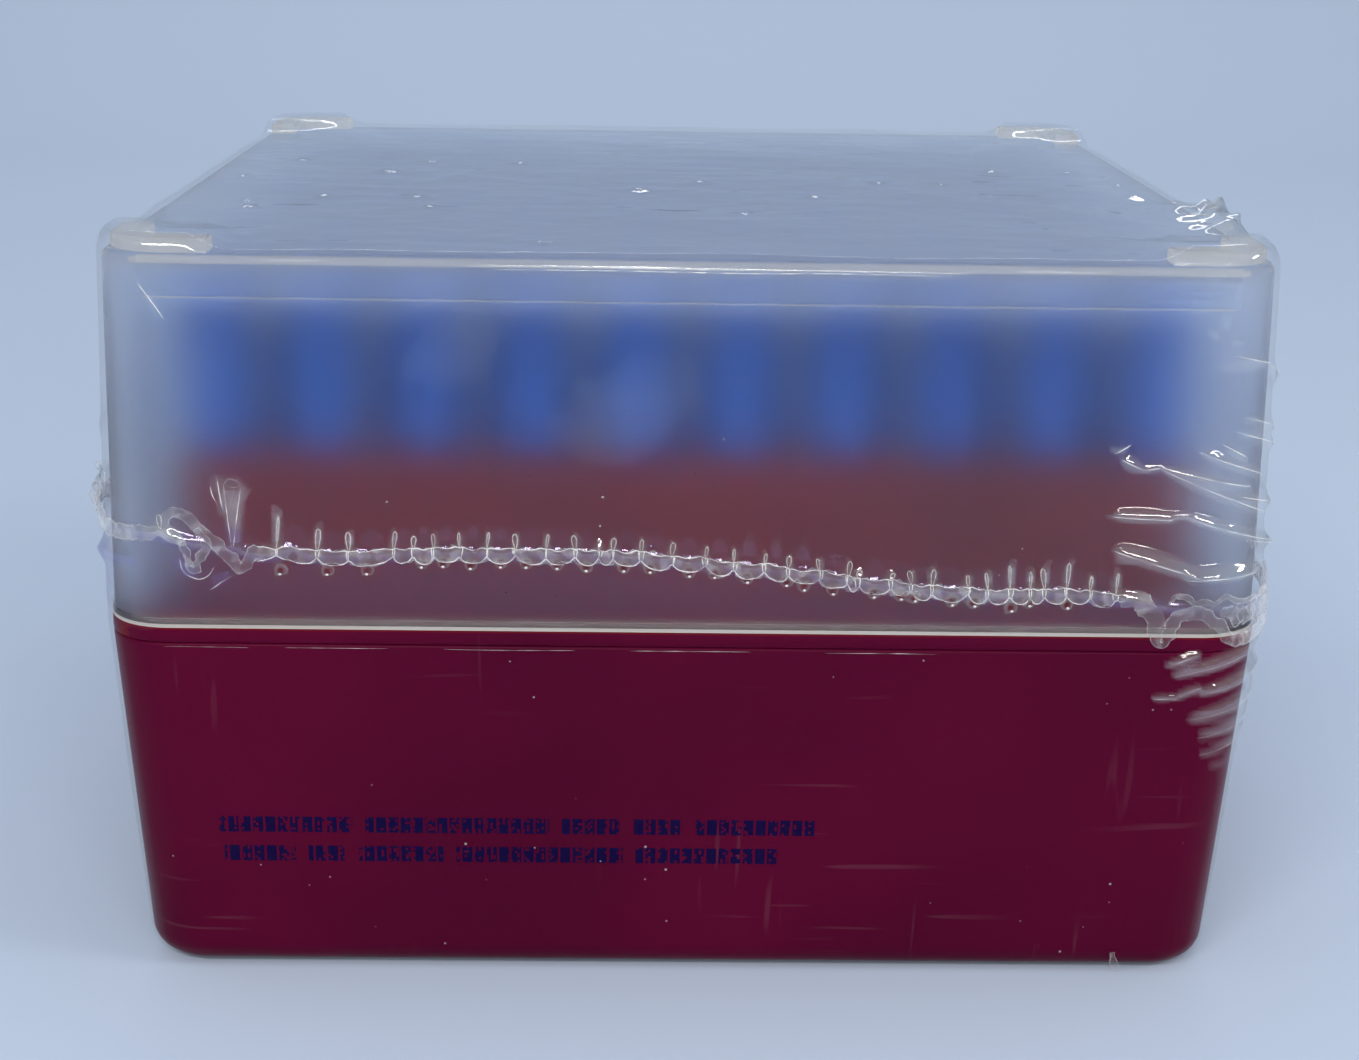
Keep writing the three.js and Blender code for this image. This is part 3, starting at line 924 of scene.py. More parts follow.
@dataclass
class Tray:
    """The tapered burgundy tray with its rounded floor edge."""

    sizes: PackSizes
    wall: float = 1.8 * MM  # Thickness of the sides and the floor
    taper: float = 2.3 * MM  # How much further in each side is at the floor
    corner: float = 7 * MM  # Radius of the upright corners
    floor_edge: float = 3 * MM  # Rounding round the floor
    rim_edge: float = 0.4 * MM  # Rounding of the rim

    def build(self, finishes: Finishes) -> Piece:
        """Models and dresses the tray."""
        low, high, half = self.sizes.tray_z, self.sizes.flange_z, self.sizes.rim_half
        floor_factor = (half - self.taper) / half
        model = Model.column("burgundy_tray", half, low, high)
        model.pick_end(End.BOTTOM)
        model.spread(floor_factor)
        model.round_uprights(self.corner, CORNER_STEPS)
        model.round_level_edges(low, self.floor_edge, 7)
        model.pick_end(End.TOP)
        model.inset(self.wall)
        model.extrude(low + self.wall - high, floor_factor)
        model.round_level_edges(low + self.wall, self.floor_edge - self.wall, 3)
        model.round_level_edges(high, self.rim_edge, 3)
        piece = model.finish()
        dress(piece, finishes.tray)
        ride_root(piece, "maroon_plastic", "base_tray")
        return piece


@dataclass
class Rack:
    """The burgundy rack: raised deck with its holes, skirt, flange, rib and locator."""

    sizes: PackSizes
    deck_z: float = 59.5 * MM  # Top of the deck
    deck_half: float = 56.5 * MM  # Half its width
    deck_corner: float = 5.65 * MM  # Radius of its upright corners
    deck_thickness: float = 2 * MM  # Its thickness
    deck_edge: float = 0.8 * MM  # Rounding of its edge
    skirt_half: float = 57.3 * MM  # Half the skirt's width at the flange
    skirt_wall: float = 1.3 * MM  # Thickness of the skirt
    flange_corner: float = 7 * MM  # Radius of the flange's corners
    flange_edge: float = 0.25 * MM  # Rounding of its outer edges
    rib_half: float = 60.8 * MM  # Half the width over the rib that centres the lid
    rib_width: float = 1.1 * MM  # Width of the rib
    rib_height: float = 1.5 * MM  # Its height over the flange
    locator_depth: float = 4 * MM  # How far the rack reaches down into the tray
    hole_radius: float = 4.1 * MM  # Radius of the tips' holes
    overlap: float = 0.4 * MM  # How far bodies that are joined reach into each other

    def tube(self, half: float, wall: float, low: float, high: float) -> Model:
        """A square tube with round corners, on the box's axis."""
        corner = self.flange_corner + half - self.sizes.rim_half
        model = Model.rounded("tube", half, low, high, corner)
        model.pick_end(End.TOP)
        model.inset(wall)
        model.extrude(low - high)
        bpy.ops.mesh.delete(type="FACE")
        model.pick_end(End.BOTTOM)
        model.inset(wall)
        bpy.ops.mesh.delete(type="FACE")
        model.turn_outward()
        return model

    def shell(self) -> Model:
        """The raised deck and its skirt."""
        low = self.sizes.flange_z + self.overlap
        factor = self.skirt_half / self.deck_half
        model = Model.column("burgundy_rack", self.deck_half, low, self.deck_z)
        model.pick_end(End.BOTTOM)
        model.spread(factor)
        model.round_uprights(self.deck_corner, INNER_CORNER_STEPS)
        model.round_level_edges(self.deck_z, self.deck_edge, 4)
        model.pick_end(End.BOTTOM)
        model.inset(self.skirt_wall)
        model.extrude(self.deck_z - self.deck_thickness - low, 1 / factor)
        return model

    def holes(self) -> Model:
        """A cutter for all the holes."""
        rest_selection()
        first = self.sizes.first_tip
        bpy.ops.mesh.primitive_cylinder_add(
            vertices=28, radius=self.hole_radius, depth=4 * self.deck_thickness,
            location=(-first, -first, self.deck_z - self.deck_thickness / 2),
        )
        cutter = Model("holes")
        for axis in range(2):
            step = [0.0, 0.0, 0.0]
            step[axis] = self.sizes.tip_pitch
            cutter.apply(
                "row", "ARRAY", count=10, use_relative_offset=False,
                use_constant_offset=True, constant_offset_displace=step,
            )
        return cutter

    def build(self, finishes: Finishes) -> Piece:
        """Models and dresses the rack."""
        flange_z, seat_z = self.sizes.flange_z, self.sizes.seat_z
        model = self.shell()
        model.join(self.holes(), Join.CUT)
        flange_wall = self.sizes.rim_half - self.skirt_half + self.overlap
        flange = self.tube(self.sizes.rim_half, flange_wall, flange_z, seat_z)
        model.join(flange, Join.ADD)
        rib_low, rib_high = seat_z - self.overlap, seat_z + self.rib_height
        model.join(self.tube(self.rib_half, self.rib_width, rib_low, rib_high), Join.ADD)
        locator_low = flange_z - self.locator_depth
        model.join(
            self.tube(self.rib_half, self.skirt_wall, locator_low, flange_z + self.overlap),
            Join.ADD,
        )
        straight = self.sizes.rim_half - self.flange_corner
        model.pick(
            Pick.EDGES,
            lambda at, along: min(abs(at.z - seat_z), abs(at.z - flange_z)) < NEAR
            and math.hypot(
                max(abs(at.x) - straight, 0), max(abs(at.y) - straight, 0)
            ) > self.flange_corner - 0.1 * MM,
        )
        model.bevel(self.flange_edge, 2)
        piece = model.finish(weigh=False)
        dress(piece, finishes.rack, finishes.tray)
        for face in piece.data.polygons:
            at = face.center
            outer = max(abs(at.x), abs(at.y)) > self.rib_half + self.overlap
            face.material_index = int(outer and at.z < seat_z - self.flange_edge)
        ride_root(piece, "maroon_plastic", "tip_rack")
        return piece


@dataclass
class Tips:
    """The hundred blue tips, standing in the rack."""

    sizes: PackSizes
    per_side: int = 10  # Tips along each side
    separate_rows: int = 5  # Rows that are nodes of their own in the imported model
    sides: int = 18  # Faces round a tip
    # Radius and height of each point round a tip's section, in millimetres
    outline: Tuple[Point, ...] = (
        (0.45, 5.1), (0.9, 5.1), (1.5, 17.0), (3.25, 41.0), (3.8, 59.45), (4.4, 59.55),
        (4.55, 59.9), (4.55, 62.4), (4.35, 62.8), (4.45, 75.0), (4.7, 75.4), (4.7, 76.9),
        (4.5, 77.1), (4.0, 77.1), (3.8, 76.8), (3.05, 60.0), (2.5, 41.0), (0.8, 17.0),
    )

    def model_tip(self) -> Piece:
        """Models one tip on the box's axis, by turning its section."""
        rest_selection()
        bpy.ops.mesh.primitive_plane_add(size=0.001)
        model = Model("tip_pattern")
        model.edit()
        bpy.ops.mesh.select_mode(type="VERT")
        bpy.ops.mesh.select_all(action="SELECT")
        bpy.ops.mesh.merge(type="CENTER")
        radius, height = self.outline[0]
        bpy.ops.transform.translate(value=(radius * MM, 0, height * MM))
        for next_radius, next_height in self.outline[1:] + self.outline[:1]:
            step = ((next_radius - radius) * MM, 0, (next_height - height) * MM)
            bpy.ops.mesh.extrude_region_move(TRANSFORM_OT_translate={"value": step})
            radius, height = next_radius, next_height
        bpy.ops.mesh.select_all(action="SELECT")
        bpy.ops.mesh.spin(
            steps=self.sides, angle=2 * math.pi, center=(0, 0, 0), axis=(0, 0, 1)
        )
        model.turn_outward()
        return model.finish(weigh=False)

    def build(self, finishes: Finishes) -> List[Piece]:
        """Models one tip and copies it to every place."""
        pattern = self.model_tip()
        dress(pattern, finishes.tips)
        pieces = []
        for row in range(self.per_side):
            for column in range(self.per_side):
                piece = pattern.copy()
                piece.data = pattern.data.copy()
                piece.name = f"blue_tip_{row + 1}_{column + 1}"
                x = column * self.sizes.tip_pitch - self.sizes.first_tip
                y = row * self.sizes.tip_pitch - self.sizes.first_tip
                piece.data.transform(Matrix.Translation((x, y, 0)))
                bpy.context.scene.collection.objects.link(piece)
                nodes = []
                if row < self.separate_rows:
                    nodes = [f"tip_row{row + 1}_column{column + 1}"]
                ride_root(piece, "blue_plastic", *nodes)
                pieces.append(piece)
        bpy.data.objects.remove(pattern)
        return pieces


@dataclass
class Lid:
    """The frosted lid: tapered cup, rim bead, stepped sides and four stacking lugs."""

    sizes: PackSizes
    bead_reach: float = 0.2 * MM  # How far the rim's bead stands out
    bead_height: float = 1 * MM  # Its height
    rim_highlight: float = 0.4 * MM  # Height of the rim's painted highlight band
    ledge_highlight: float = 0.16 * MM  # Height of the painted highlight line under the stepped sides
    taper: float = 0.6 * MM  # How much further in each side is at the top
    wall: float = 1.6 * MM  # Thickness of the sides and the top
    corner: float = 7 * MM  # Radius of the upright corners
    edge: float = 1 * MM  # Rounding round the top
    inner_edge: float = 0.8 * MM  # Rounding round the ceiling
    step_drop: float = 4.4 * MM  # How far down from the top the sides are stepped back
    step_depth: float = 0.3 * MM  # How far back they are stepped
    step_length: float = 117 * MM  # Length of the stepped part of a side
    lug_height: float = 1.5 * MM  # Height of the lugs over the top
    lug_length: float = 12 * MM  # Their length along each side
    lug_width: float = 3.5 * MM  # Their width
    lug_edge: float = 0.45 * MM  # Rounding of their upper edges

    @property
    def top(self) -> float:
        """Height of the top, under the lugs."""
        return self.sizes.lug_z - self.lug_height

    @property
    def wall_half(self) -> float:
        """Half the width over the sides at the rim."""
        return self.sizes.rim_half - self.bead_reach

    def cup(self) -> Model:
        """The solid outside of the lid, with its stepped sides."""
        top_half = self.wall_half - self.taper
        model = Model.column("frosted_lid", top_half, self.sizes.seat_z, self.top)
        model.pick_end(End.BOTTOM)
        model.spread(self.wall_half / top_half)
        model.round_uprights(self.corner, CORNER_STEPS)
        cutter = 4 * MM
        for side in range(4):
            size = [self.step_length, cutter, 2 * self.step_drop]
            reach = top_half - self.step_depth + cutter / 2
            middle = [0.0, reach if side < 2 else -reach, self.top]
            if side % 2:
                size[0], size[1] = size[1], size[0]
                middle[0], middle[1] = middle[1], middle[0]
            model.join(Model.block("step", size, middle), Join.CUT)
        model.round_level_edges(self.top, self.edge, 5)
        return model

    def lugs(self) -> Model:
        """The four raised corner lugs."""
        top_half = self.wall_half - self.taper
        outer = top_half - self.edge
        high = self.sizes.lug_z
        low = high - self.lug_height - self.wall / 2
        model = Model.rounded("lugs", outer, low, high, self.corner - self.edge)
        gap = 2 * (top_half - self.lug_length)
        tall = 4 * (high - low)
        for size in ((gap, 3 * outer, tall), (3 * outer, gap, tall)):
            model.join(Model.block("gap", size, (0, 0, low)), Join.CUT)
        core = Model.rounded(
            "core", outer - self.lug_width, low - MM, high + MM,
            self.corner - self.edge - self.lug_width,
        )
        model.join(core, Join.CUT)
        model.round_level_edges(high, self.lug_edge, 3)
        return model

    def slot_of(self, face: bpy.types.MeshPolygon, ledge: float) -> int:
        """Which material a face takes.

        Args:
            face: The face.
            ledge: Height of the ledge under the stepped sides.

        Returns:
            1 on the rim's painted highlight band, 2 on the painted highlights of the top's
            rounding, the lugs and the ledge line, else 0.
        """
        at, tilted, over, above = face.center, 0.15, 0.02 * MM, 0.05 * MM
        if at.z < self.sizes.seat_z + self.rim_highlight:
            return 1
        outer = max(abs(at.x), abs(at.y)) > self.sizes.rim_half - self.wall
        lined = outer and ledge - self.ledge_highlight < at.z < ledge + above
        rounded = outer and at.z > self.top - self.edge and face.normal.z > tilted
        return 2 if at.z > self.top + over or rounded or lined else 0

    def build(self, finishes: Finishes) -> Piece:
        """Models and dresses the lid."""
        low = self.sizes.seat_z
        ceiling = self.top - self.wall
        model = self.cup()
        model.join(self.lugs(), Join.ADD)
        model.pick_end(End.BOTTOM)
        model.inset(self.wall)
        inner = self.wall_half - self.wall
        model.extrude(ceiling - low, (inner - self.taper) / inner)
        model.round_level_edges(ceiling, self.inner_edge, 4)
        model.slice(2, low + self.bead_height)
        reach = inner + self.wall / 2
        model.pick(
            Pick.FACES,
            lambda at, normal: at.z < low + self.bead_height and abs(normal.z) < 0.5
            and max(abs(at.x), abs(at.y)) > reach - 3 * MM
            and at.x * normal.x + at.y * normal.y > 0,
        )
        bpy.ops.mesh.extrude_region_shrink_fatten(
            TRANSFORM_OT_shrink_fatten={"value": self.bead_reach}
        )
        ledge = self.top - self.step_drop
        for height in (low + self.rim_highlight, ledge - self.ledge_highlight):
            model.slice(2, height)
        piece = model.finish()
        # The rim band, the top's rounding, the lugs and the ledge line take whiter frosted
        # finishes: painted highlights.
        dress(piece, finishes.lid, finishes.lid_edge_highlight, finishes.lid_round_highlight)
        for face in piece.data.polygons:
            face.material_index = self.slot_of(face, ledge)
        ride_root(piece, "frosted_plastic", "lid")
        return piece


# The shrink film


@dataclass(frozen=True)
class Draped:
    """Places drawn onto the film's form, one row or value for each."""

    places: Array  # The places
    normals: Array  # The outward directions
    s: Array  # Distances round the box
    top: Array  # The share of each place that belongs to the top


@dataclass
class FilmForm:
    """The smooth form that the tight film takes round the box, before its folds.

    A place on the sides is given by s, its distance round the box from the middle of the front
    and positive to the right, and by its height z.
    """

    rim: float = 63.5 * MM  # Half the film's width round the rim
    bottom: float = 61.2 * MM  # Half its width at the floor
    top: float = 62.7 * MM  # Half its width under the top edge
    corner: float = 7.6 * MM  # Radius of its upright corners
    floor_edge: float = 3.6 * MM  # Rounding round the floor
    top_edge: float = 1.6 * MM  # Rounding round the top
    top_z: float = 82.3 * MM  # Height of the flat top
    rim_low: float = 39.8 * MM  # Where the sides start to taper down
    rim_high: float = 42.5 * MM  # Where the sides start to taper up

    @property
    def flat(self) -> float:
        """Half the length of a side's flat part."""
        return self.rim - self.corner

    @property
    def arc(self) -> float:
        """Length round one corner."""
        return self.corner * math.pi / 2

    @property
    def half_round(self) -> float:
        """Half the way round the box."""
        return 4 * self.flat + 2 * self.arc

    def half_at(self, z: Array) -> Array:
        """Half the width at a height."""
        heights = [self.floor_edge, self.rim_low, self.rim_high, self.top_z - self.top_edge]
        return np.interp(z, heights, [self.bottom, self.rim, self.rim, self.top])

    def squeeze(self, reach: Array, half: Array) -> Array:
        """Fits a distance from the axis to the width at its height; corners keep their radius."""
        flat = half - self.corner
        return np.where(reach <= self.flat, reach * flat / self.flat, reach - self.rim + half)

    def side(self, s: Array, z: Array) -> Tuple[Array, Array]:
        """Places and outward directions on the sides.

        Args:
            s: Distances round the box.
            z: Heights.

        Returns:
            The places and the directions, one row each.
        """
        s = (np.asarray(s, float) + self.half_round) % (2 * self.half_round) - self.half_round
        z = np.broadcast_to(np.asarray(z, float), s.shape)
        away, sign = np.abs(s), np.where(s < 0, -1.0, 1.0)
        one, two = self.flat, self.flat + self.arc
        three, four = two + 2 * self.flat, two + 2 * self.flat + self.arc
        turn = np.clip((away - one) / self.corner, 0, math.pi / 2)
        turn = turn + np.clip((away - three) / self.corner, 0, math.pi / 2)
        across, along = np.sin(turn), -np.cos(turn)
        x = np.where(away < one, away, self.flat + self.corner * np.clip(across, 0, 1))
        x = np.where(away > four, self.flat - (away - four), x)
        y_side = away - two - self.flat
        y = np.where(away < two, -self.flat + self.corner * np.clip(along, -1, 0), y_side)
        y = np.where(away > three, self.flat + self.corner * np.clip(along, 0, 1), y)
        half = self.half_at(z)
        x = np.sign(x) * self.squeeze(np.abs(x), half)
        y = np.sign(y) * self.squeeze(np.abs(y), half)
        places = np.stack([sign * x, y, z], axis=1)
        return places, np.stack([sign * across, along, np.zeros_like(s)], axis=1)

    def flatten(self, away: Array) -> Tuple[Array, Array]:
        """Bends the square corners of a block round.

        Args:
            away: Distances from the two axes.

        Returns:
            The new distances and the outward directions, one row each.
        """
        past = np.maximum(away - self.flat, 0) / self.corner
        u, v = past[:, 0], past[:, 1]
        ring = np.maximum(u, v)
        cornered = (u > 0) & (v > 0)
        safe = np.maximum(ring, 1e-9)
        turn = np.where(u >= v, v / safe, 2 - u / safe) * math.pi / 4
        turn = np.where(cornered, turn, np.where(away[:, 0] >= away[:, 1], 0.0, math.pi / 2))
        outward = np.stack([np.cos(turn), np.sin(turn)], axis=1)
        flat = self.flat + self.corner * ring[:, None] * outward
        return np.where(cornered[:, None], flat, away), outward

    def drape(self, block: Array) -> Draped:
        """Draws the surface of an upright block, as wide as the rim, onto the film's form."""
        away = np.abs(block[:, :2])
        sign = np.where(block[:, :2] < 0, -1.0, 1.0)
        flat, outward = self.flatten(away)
        inward, z = self.rim - away.max(axis=1), block[:, 2]
        tilt, shift, height = np.zeros_like(z), np.zeros_like(z), z.copy()
        for level, edge, up in ((self.top_z, self.top_edge, 1), (0.0, self.floor_edge, -1)):
            on_face = np.abs(z - level) < 1e-7
            gap = np.abs(level - z)
            on_side = ~on_face & (gap < edge)
            angle = np.where(on_side, (1 - gap / edge) * math.pi / 4, 0.0)
            share = np.clip(1 - inward / edge, 0, 1)
            angle = np.where(on_face, math.pi / 2 - share * math.pi / 4, angle)
            near = on_side | (on_face & (inward < edge))
            base = level - up * edge
            height = np.where(near, base + up * edge * np.sin(angle), height)
            shift = np.where(near, inward - edge * (1 - np.cos(angle)), shift)
            tilt = np.where(on_side | on_face, up * angle, tilt)
        flat = flat + outward * shift[:, None]
        half = self.half_at(height)
        reach = np.stack([self.squeeze(flat[:, 0], half), self.squeeze(flat[:, 1], half)], axis=1)
        normals = np.column_stack([outward * sign * np.cos(tilt)[:, None], np.sin(tilt)])
        return Draped(
            np.column_stack([reach * sign, height]), normals, self.round_of(flat, sign),
            np.clip(np.sin(tilt), 0, 1),
        )

    def round_of(self, flat: Array, sign: Array) -> Array:
        """The distance round the box of places given by their distances from the two axes."""
        x, y = flat[:, 0], flat[:, 1] * sign[:, 1]
        front = np.arctan2(x - self.flat, -(y + self.flat)) * self.corner + self.flat
        side = self.flat + self.arc + y + self.flat
        start = 3 * self.flat + self.arc
        back = start + np.arctan2(y - self.flat, x - self.flat) * self.corner
        s = np.where(x <= self.flat, np.where(y < 0, x, self.half_round - x), side)
        s = np.where((x > self.flat) & (y < -self.flat), front, s)
        s = np.where((x > self.flat) & (y > self.flat), back, s)
        return s * sign[:, 0]


@dataclass
class Ripples:
    """A smooth random field: a sum of waves in seeded directions."""

    seed: int  # Seed of its waves
    shortest: float  # Shortest wavelength
    longest: float  # Longest wavelength
    count: int = 14  # How many waves it adds

    def at(self, places: Array) -> Array:
        """The field at each row of places, about -1 to 1."""
        random = np.random.default_rng(self.seed)
        total = np.zeros(len(places))
        for _ in range(self.count):
            direction = random.normal(size=places.shape[1])
            direction /= np.linalg.norm(direction)
            length = math.exp(random.uniform(math.log(self.shortest), math.log(self.longest)))
            phase = random.uniform(0, 2 * math.pi)
            total += np.sin(places @ direction * (2 * math.pi / length) + phase)
        return total / math.sqrt(self.count)


def ease(value: Array, low: float, high: float) -> Array:
    """A smooth rise from zero at low to one at high."""
    t = np.clip((value - low) / (high - low), 0, 1)
    return t * t * (3 - 2 * t)


@dataclass(frozen=True)
class Fold:
    """One fold: a ridge from one place to another, in millimetres."""

    start: Point  # Where it starts
    end: Point  # Where it ends
    width: float  # Its half width
    height: float  # How far its crest stands out; negative for a groove
    sharp: float = 1.0  # How much steeper its lower side is

    def rise(self, places: Array) -> Array:
        """How far the fold lifts each place; places and result are in metres."""
        start, end = np.array(self.start) * MM, np.array(self.end) * MM
        run = end - start
        length = np.linalg.norm(run) + 1e-9
        along = (places - start) @ run / length ** 2
        across = ((places - start) @ np.array([-run[1], run[0]])) / length
        if run[0] < 0:
            across = -across
        beyond = np.clip(np.maximum(-along, along - 1), 0, None) * length
        inside = np.clip(4 * along * (1 - along), 0, 1) ** 0.4
        width = self.width * MM * (0.45 + 0.55 * inside)
        steep = np.where(across < 0, across * self.sharp, across)
        shape = np.exp(-((steep / width) ** 2) - (beyond / (0.6 * self.width * MM)) ** 2)
        return self.height * MM * (0.25 + 0.75 * inside) * shape


def folds_of(*rows: Tuple[float, ...]) -> Tuple[Fold, ...]:
    """Folds from rows of numbers: start, end, half width, height and maybe sharpness."""
    return tuple(Fold(row[:2], row[2:4], *row[4:]) for row in rows)


@dataclass
class WeldLine:
    """Where the weld runs round the box, and where it is gathered into pleats."""

    form: FilmForm  # The film's form
    # Distance round the box and height of places along the weld, in millimetres
    course: Tuple[Point, ...] = (
        (-247.5, 51.5), (-200, 52.4), (-170, 51.6), (-150, 53.2), (-125, 52.6), (-100, 54.0),
        (-80, 54.6), (-66.0, 54.0), (-64.5, 53.1), (-62.4, 52.4), (-59.0, 52.3), (-56.3, 52.4),
        (-53.5, 51.3), (-46.4, 50.1), (-43.9, 50.1), (-42.3, 50.6), (-40.0, 49.9),
        (-34.7, 49.9), (-28.5, 50.4), (-22.5, 50.4), (-15.0, 50.4), (-7.8, 50.3), (-1.5, 49.8),
        (5.3, 49.1), (12.6, 48.5), (18.0, 47.6), (22.3, 47.3), (25.8, 46.8), (33.1, 46.4),
        (39.4, 46.6), (47.9, 46.0), (52.1, 45.0), (58.0, 45.2), (66.0, 46.0), (80.0, 47.2),
        (105.0, 46.6), (125.0, 48.2), (150.0, 48.0), (170.0, 49.6), (200.0, 49.8),
        (225.0, 51.2), (247.5, 51.5),
    )
    # Distance round the box and height of each front pleat's upper end
    tops: Tuple[Point, ...] = (
        (-55.9, 54.6), (-43.7, 54.9), (-39.4, 53.4), (-36.0, 53.0), (-31.3, 53.1),
        (-29.2, 52.5), (-27.0, 52.8), (-24.3, 53.0), (-21.4, 53.1), (-18.3, 52.9),
        (-15.1, 52.9), (-12.0, 52.8), (-9.5, 52.1), (-8.0, 52.5), (-5.0, 52.4), (-1.7, 52.1),
        (1.9, 51.7), (4.9, 51.5), (8.2, 51.0), (10.8, 50.7), (14.1, 50.5), (17.2, 50.3),
        (18.3, 49.2), (21.8, 48.9), (24.0, 49.2), (26.2, 49.5), (30.1, 48.8), (32.2, 49.2),
        (34.6, 50.2), (36.8, 49.4), (38.3, 49.8), (40.7, 50.6), (43.2, 48.9), (46.0, 49.4),
    )
    dots: Tuple[Point, ...] = (  # Places of the small round dents under the weld
        (-28.3, 49.2), (-26.0, 49.3), (-23.1, 49.1), (-19.9, 49.3), (-17.2, 49.3),
        (-13.9, 49.2), (-10.8, 49.0), (-6.8, 49.0), (-4.0, 48.9), (0.2, 48.5), (2.9, 48.4),
        (6.4, 47.9), (10.6, 47.6), (12.5, 47.1), (15.6, 46.7), (20.0, 46.4), (22.9, 46.2),
        (24.4, 46.0), (28.4, 45.6), (30.8, 45.5), (34.8, 45.0), (36.7, 45.6), (40.8, 45.4),
        (-43.3, 48.3), (-38.3, 48.3), (-34.1, 48.4),
    )
    seed: int = 7  # Seed of the other pleats

    def height(self, s: Array) -> Array:
        """The weld's height at distances round the box; both in metres."""
        course = np.array(self.course) * MM
        return np.interp(s, course[:, 0], course[:, 1])

    def foot(self, s: float) -> float:
        """The weld's height at one distance round the box; both in millimetres."""
        return float(self.height(np.array([s * MM]))[0]) / MM

    def pleats(self) -> List[Point]:
        """Every pleat's distance round the box and height above the weld, in millimetres."""
        front = [(s, z - self.foot(s)) for s, z in self.tops]
        random = np.random.default_rng(self.seed)
        whole = 2 * self.form.half_round / MM
        end = whole / 2 - 2
        others, s = [], 67.0
        while s < 2 * end - 62:
            place = s if s < end else s - whole
            others.append((place, float(random.uniform(1.6, 3.4))))
            s += float(random.uniform(2.7, 5.2))
        return sorted(front + others)

    def phase(self, s: Array) -> Array:
        """How far along each place is from one pleat to the next, counted from the first."""
        marks = np.array([place for place, _ in self.pleats()]) * MM
        return np.interp(s, marks, np.arange(len(marks)))


@dataclass(frozen=True)
class Fineness:
    """Where the film's faces are split at one level, in millimetres."""

    above: float  # Reach above the weld
    below: float  # Reach below the weld
    calm: float  # The share of both that holds on the sides and the back
    # The folded corner: distances round the box, and heights
    patch: Tuple[float, float, float, float]
    hole: float  # Reach round a pinhole
    # The top's folded part: its least x, and its y from and to
    ear: Place = (FAR, FAR, FAR)
    edge: float = 0.0  # Reach down from the front's top edge
    lined: float = 0.0  # Half the length of that reach


@dataclass(frozen=True)
class Relief:
    """How the film stands out round the weld."""

    ridge: float = 0.45 * MM  # Height of the ridge under the weld
    ridge_half: float = 0.8 * MM  # Half its width
    gather: float = 0.16 * MM  # Height of the waves between the pleats
    gather_up: float = 1.9 * MM  # How far up they fade
    gather_down: float = 1.3 * MM  # How far down they fade
    dot: float = 0.3 * MM  # Height of a round dent's rim
    dot_half: float = 0.6 * MM  # Half its width
    slack: float = 0.06 * MM  # Height of the slow waves everywhere
    pleat: Point = (0.42, 0.42)  # Half the width and the height of a pleat, in millimetres


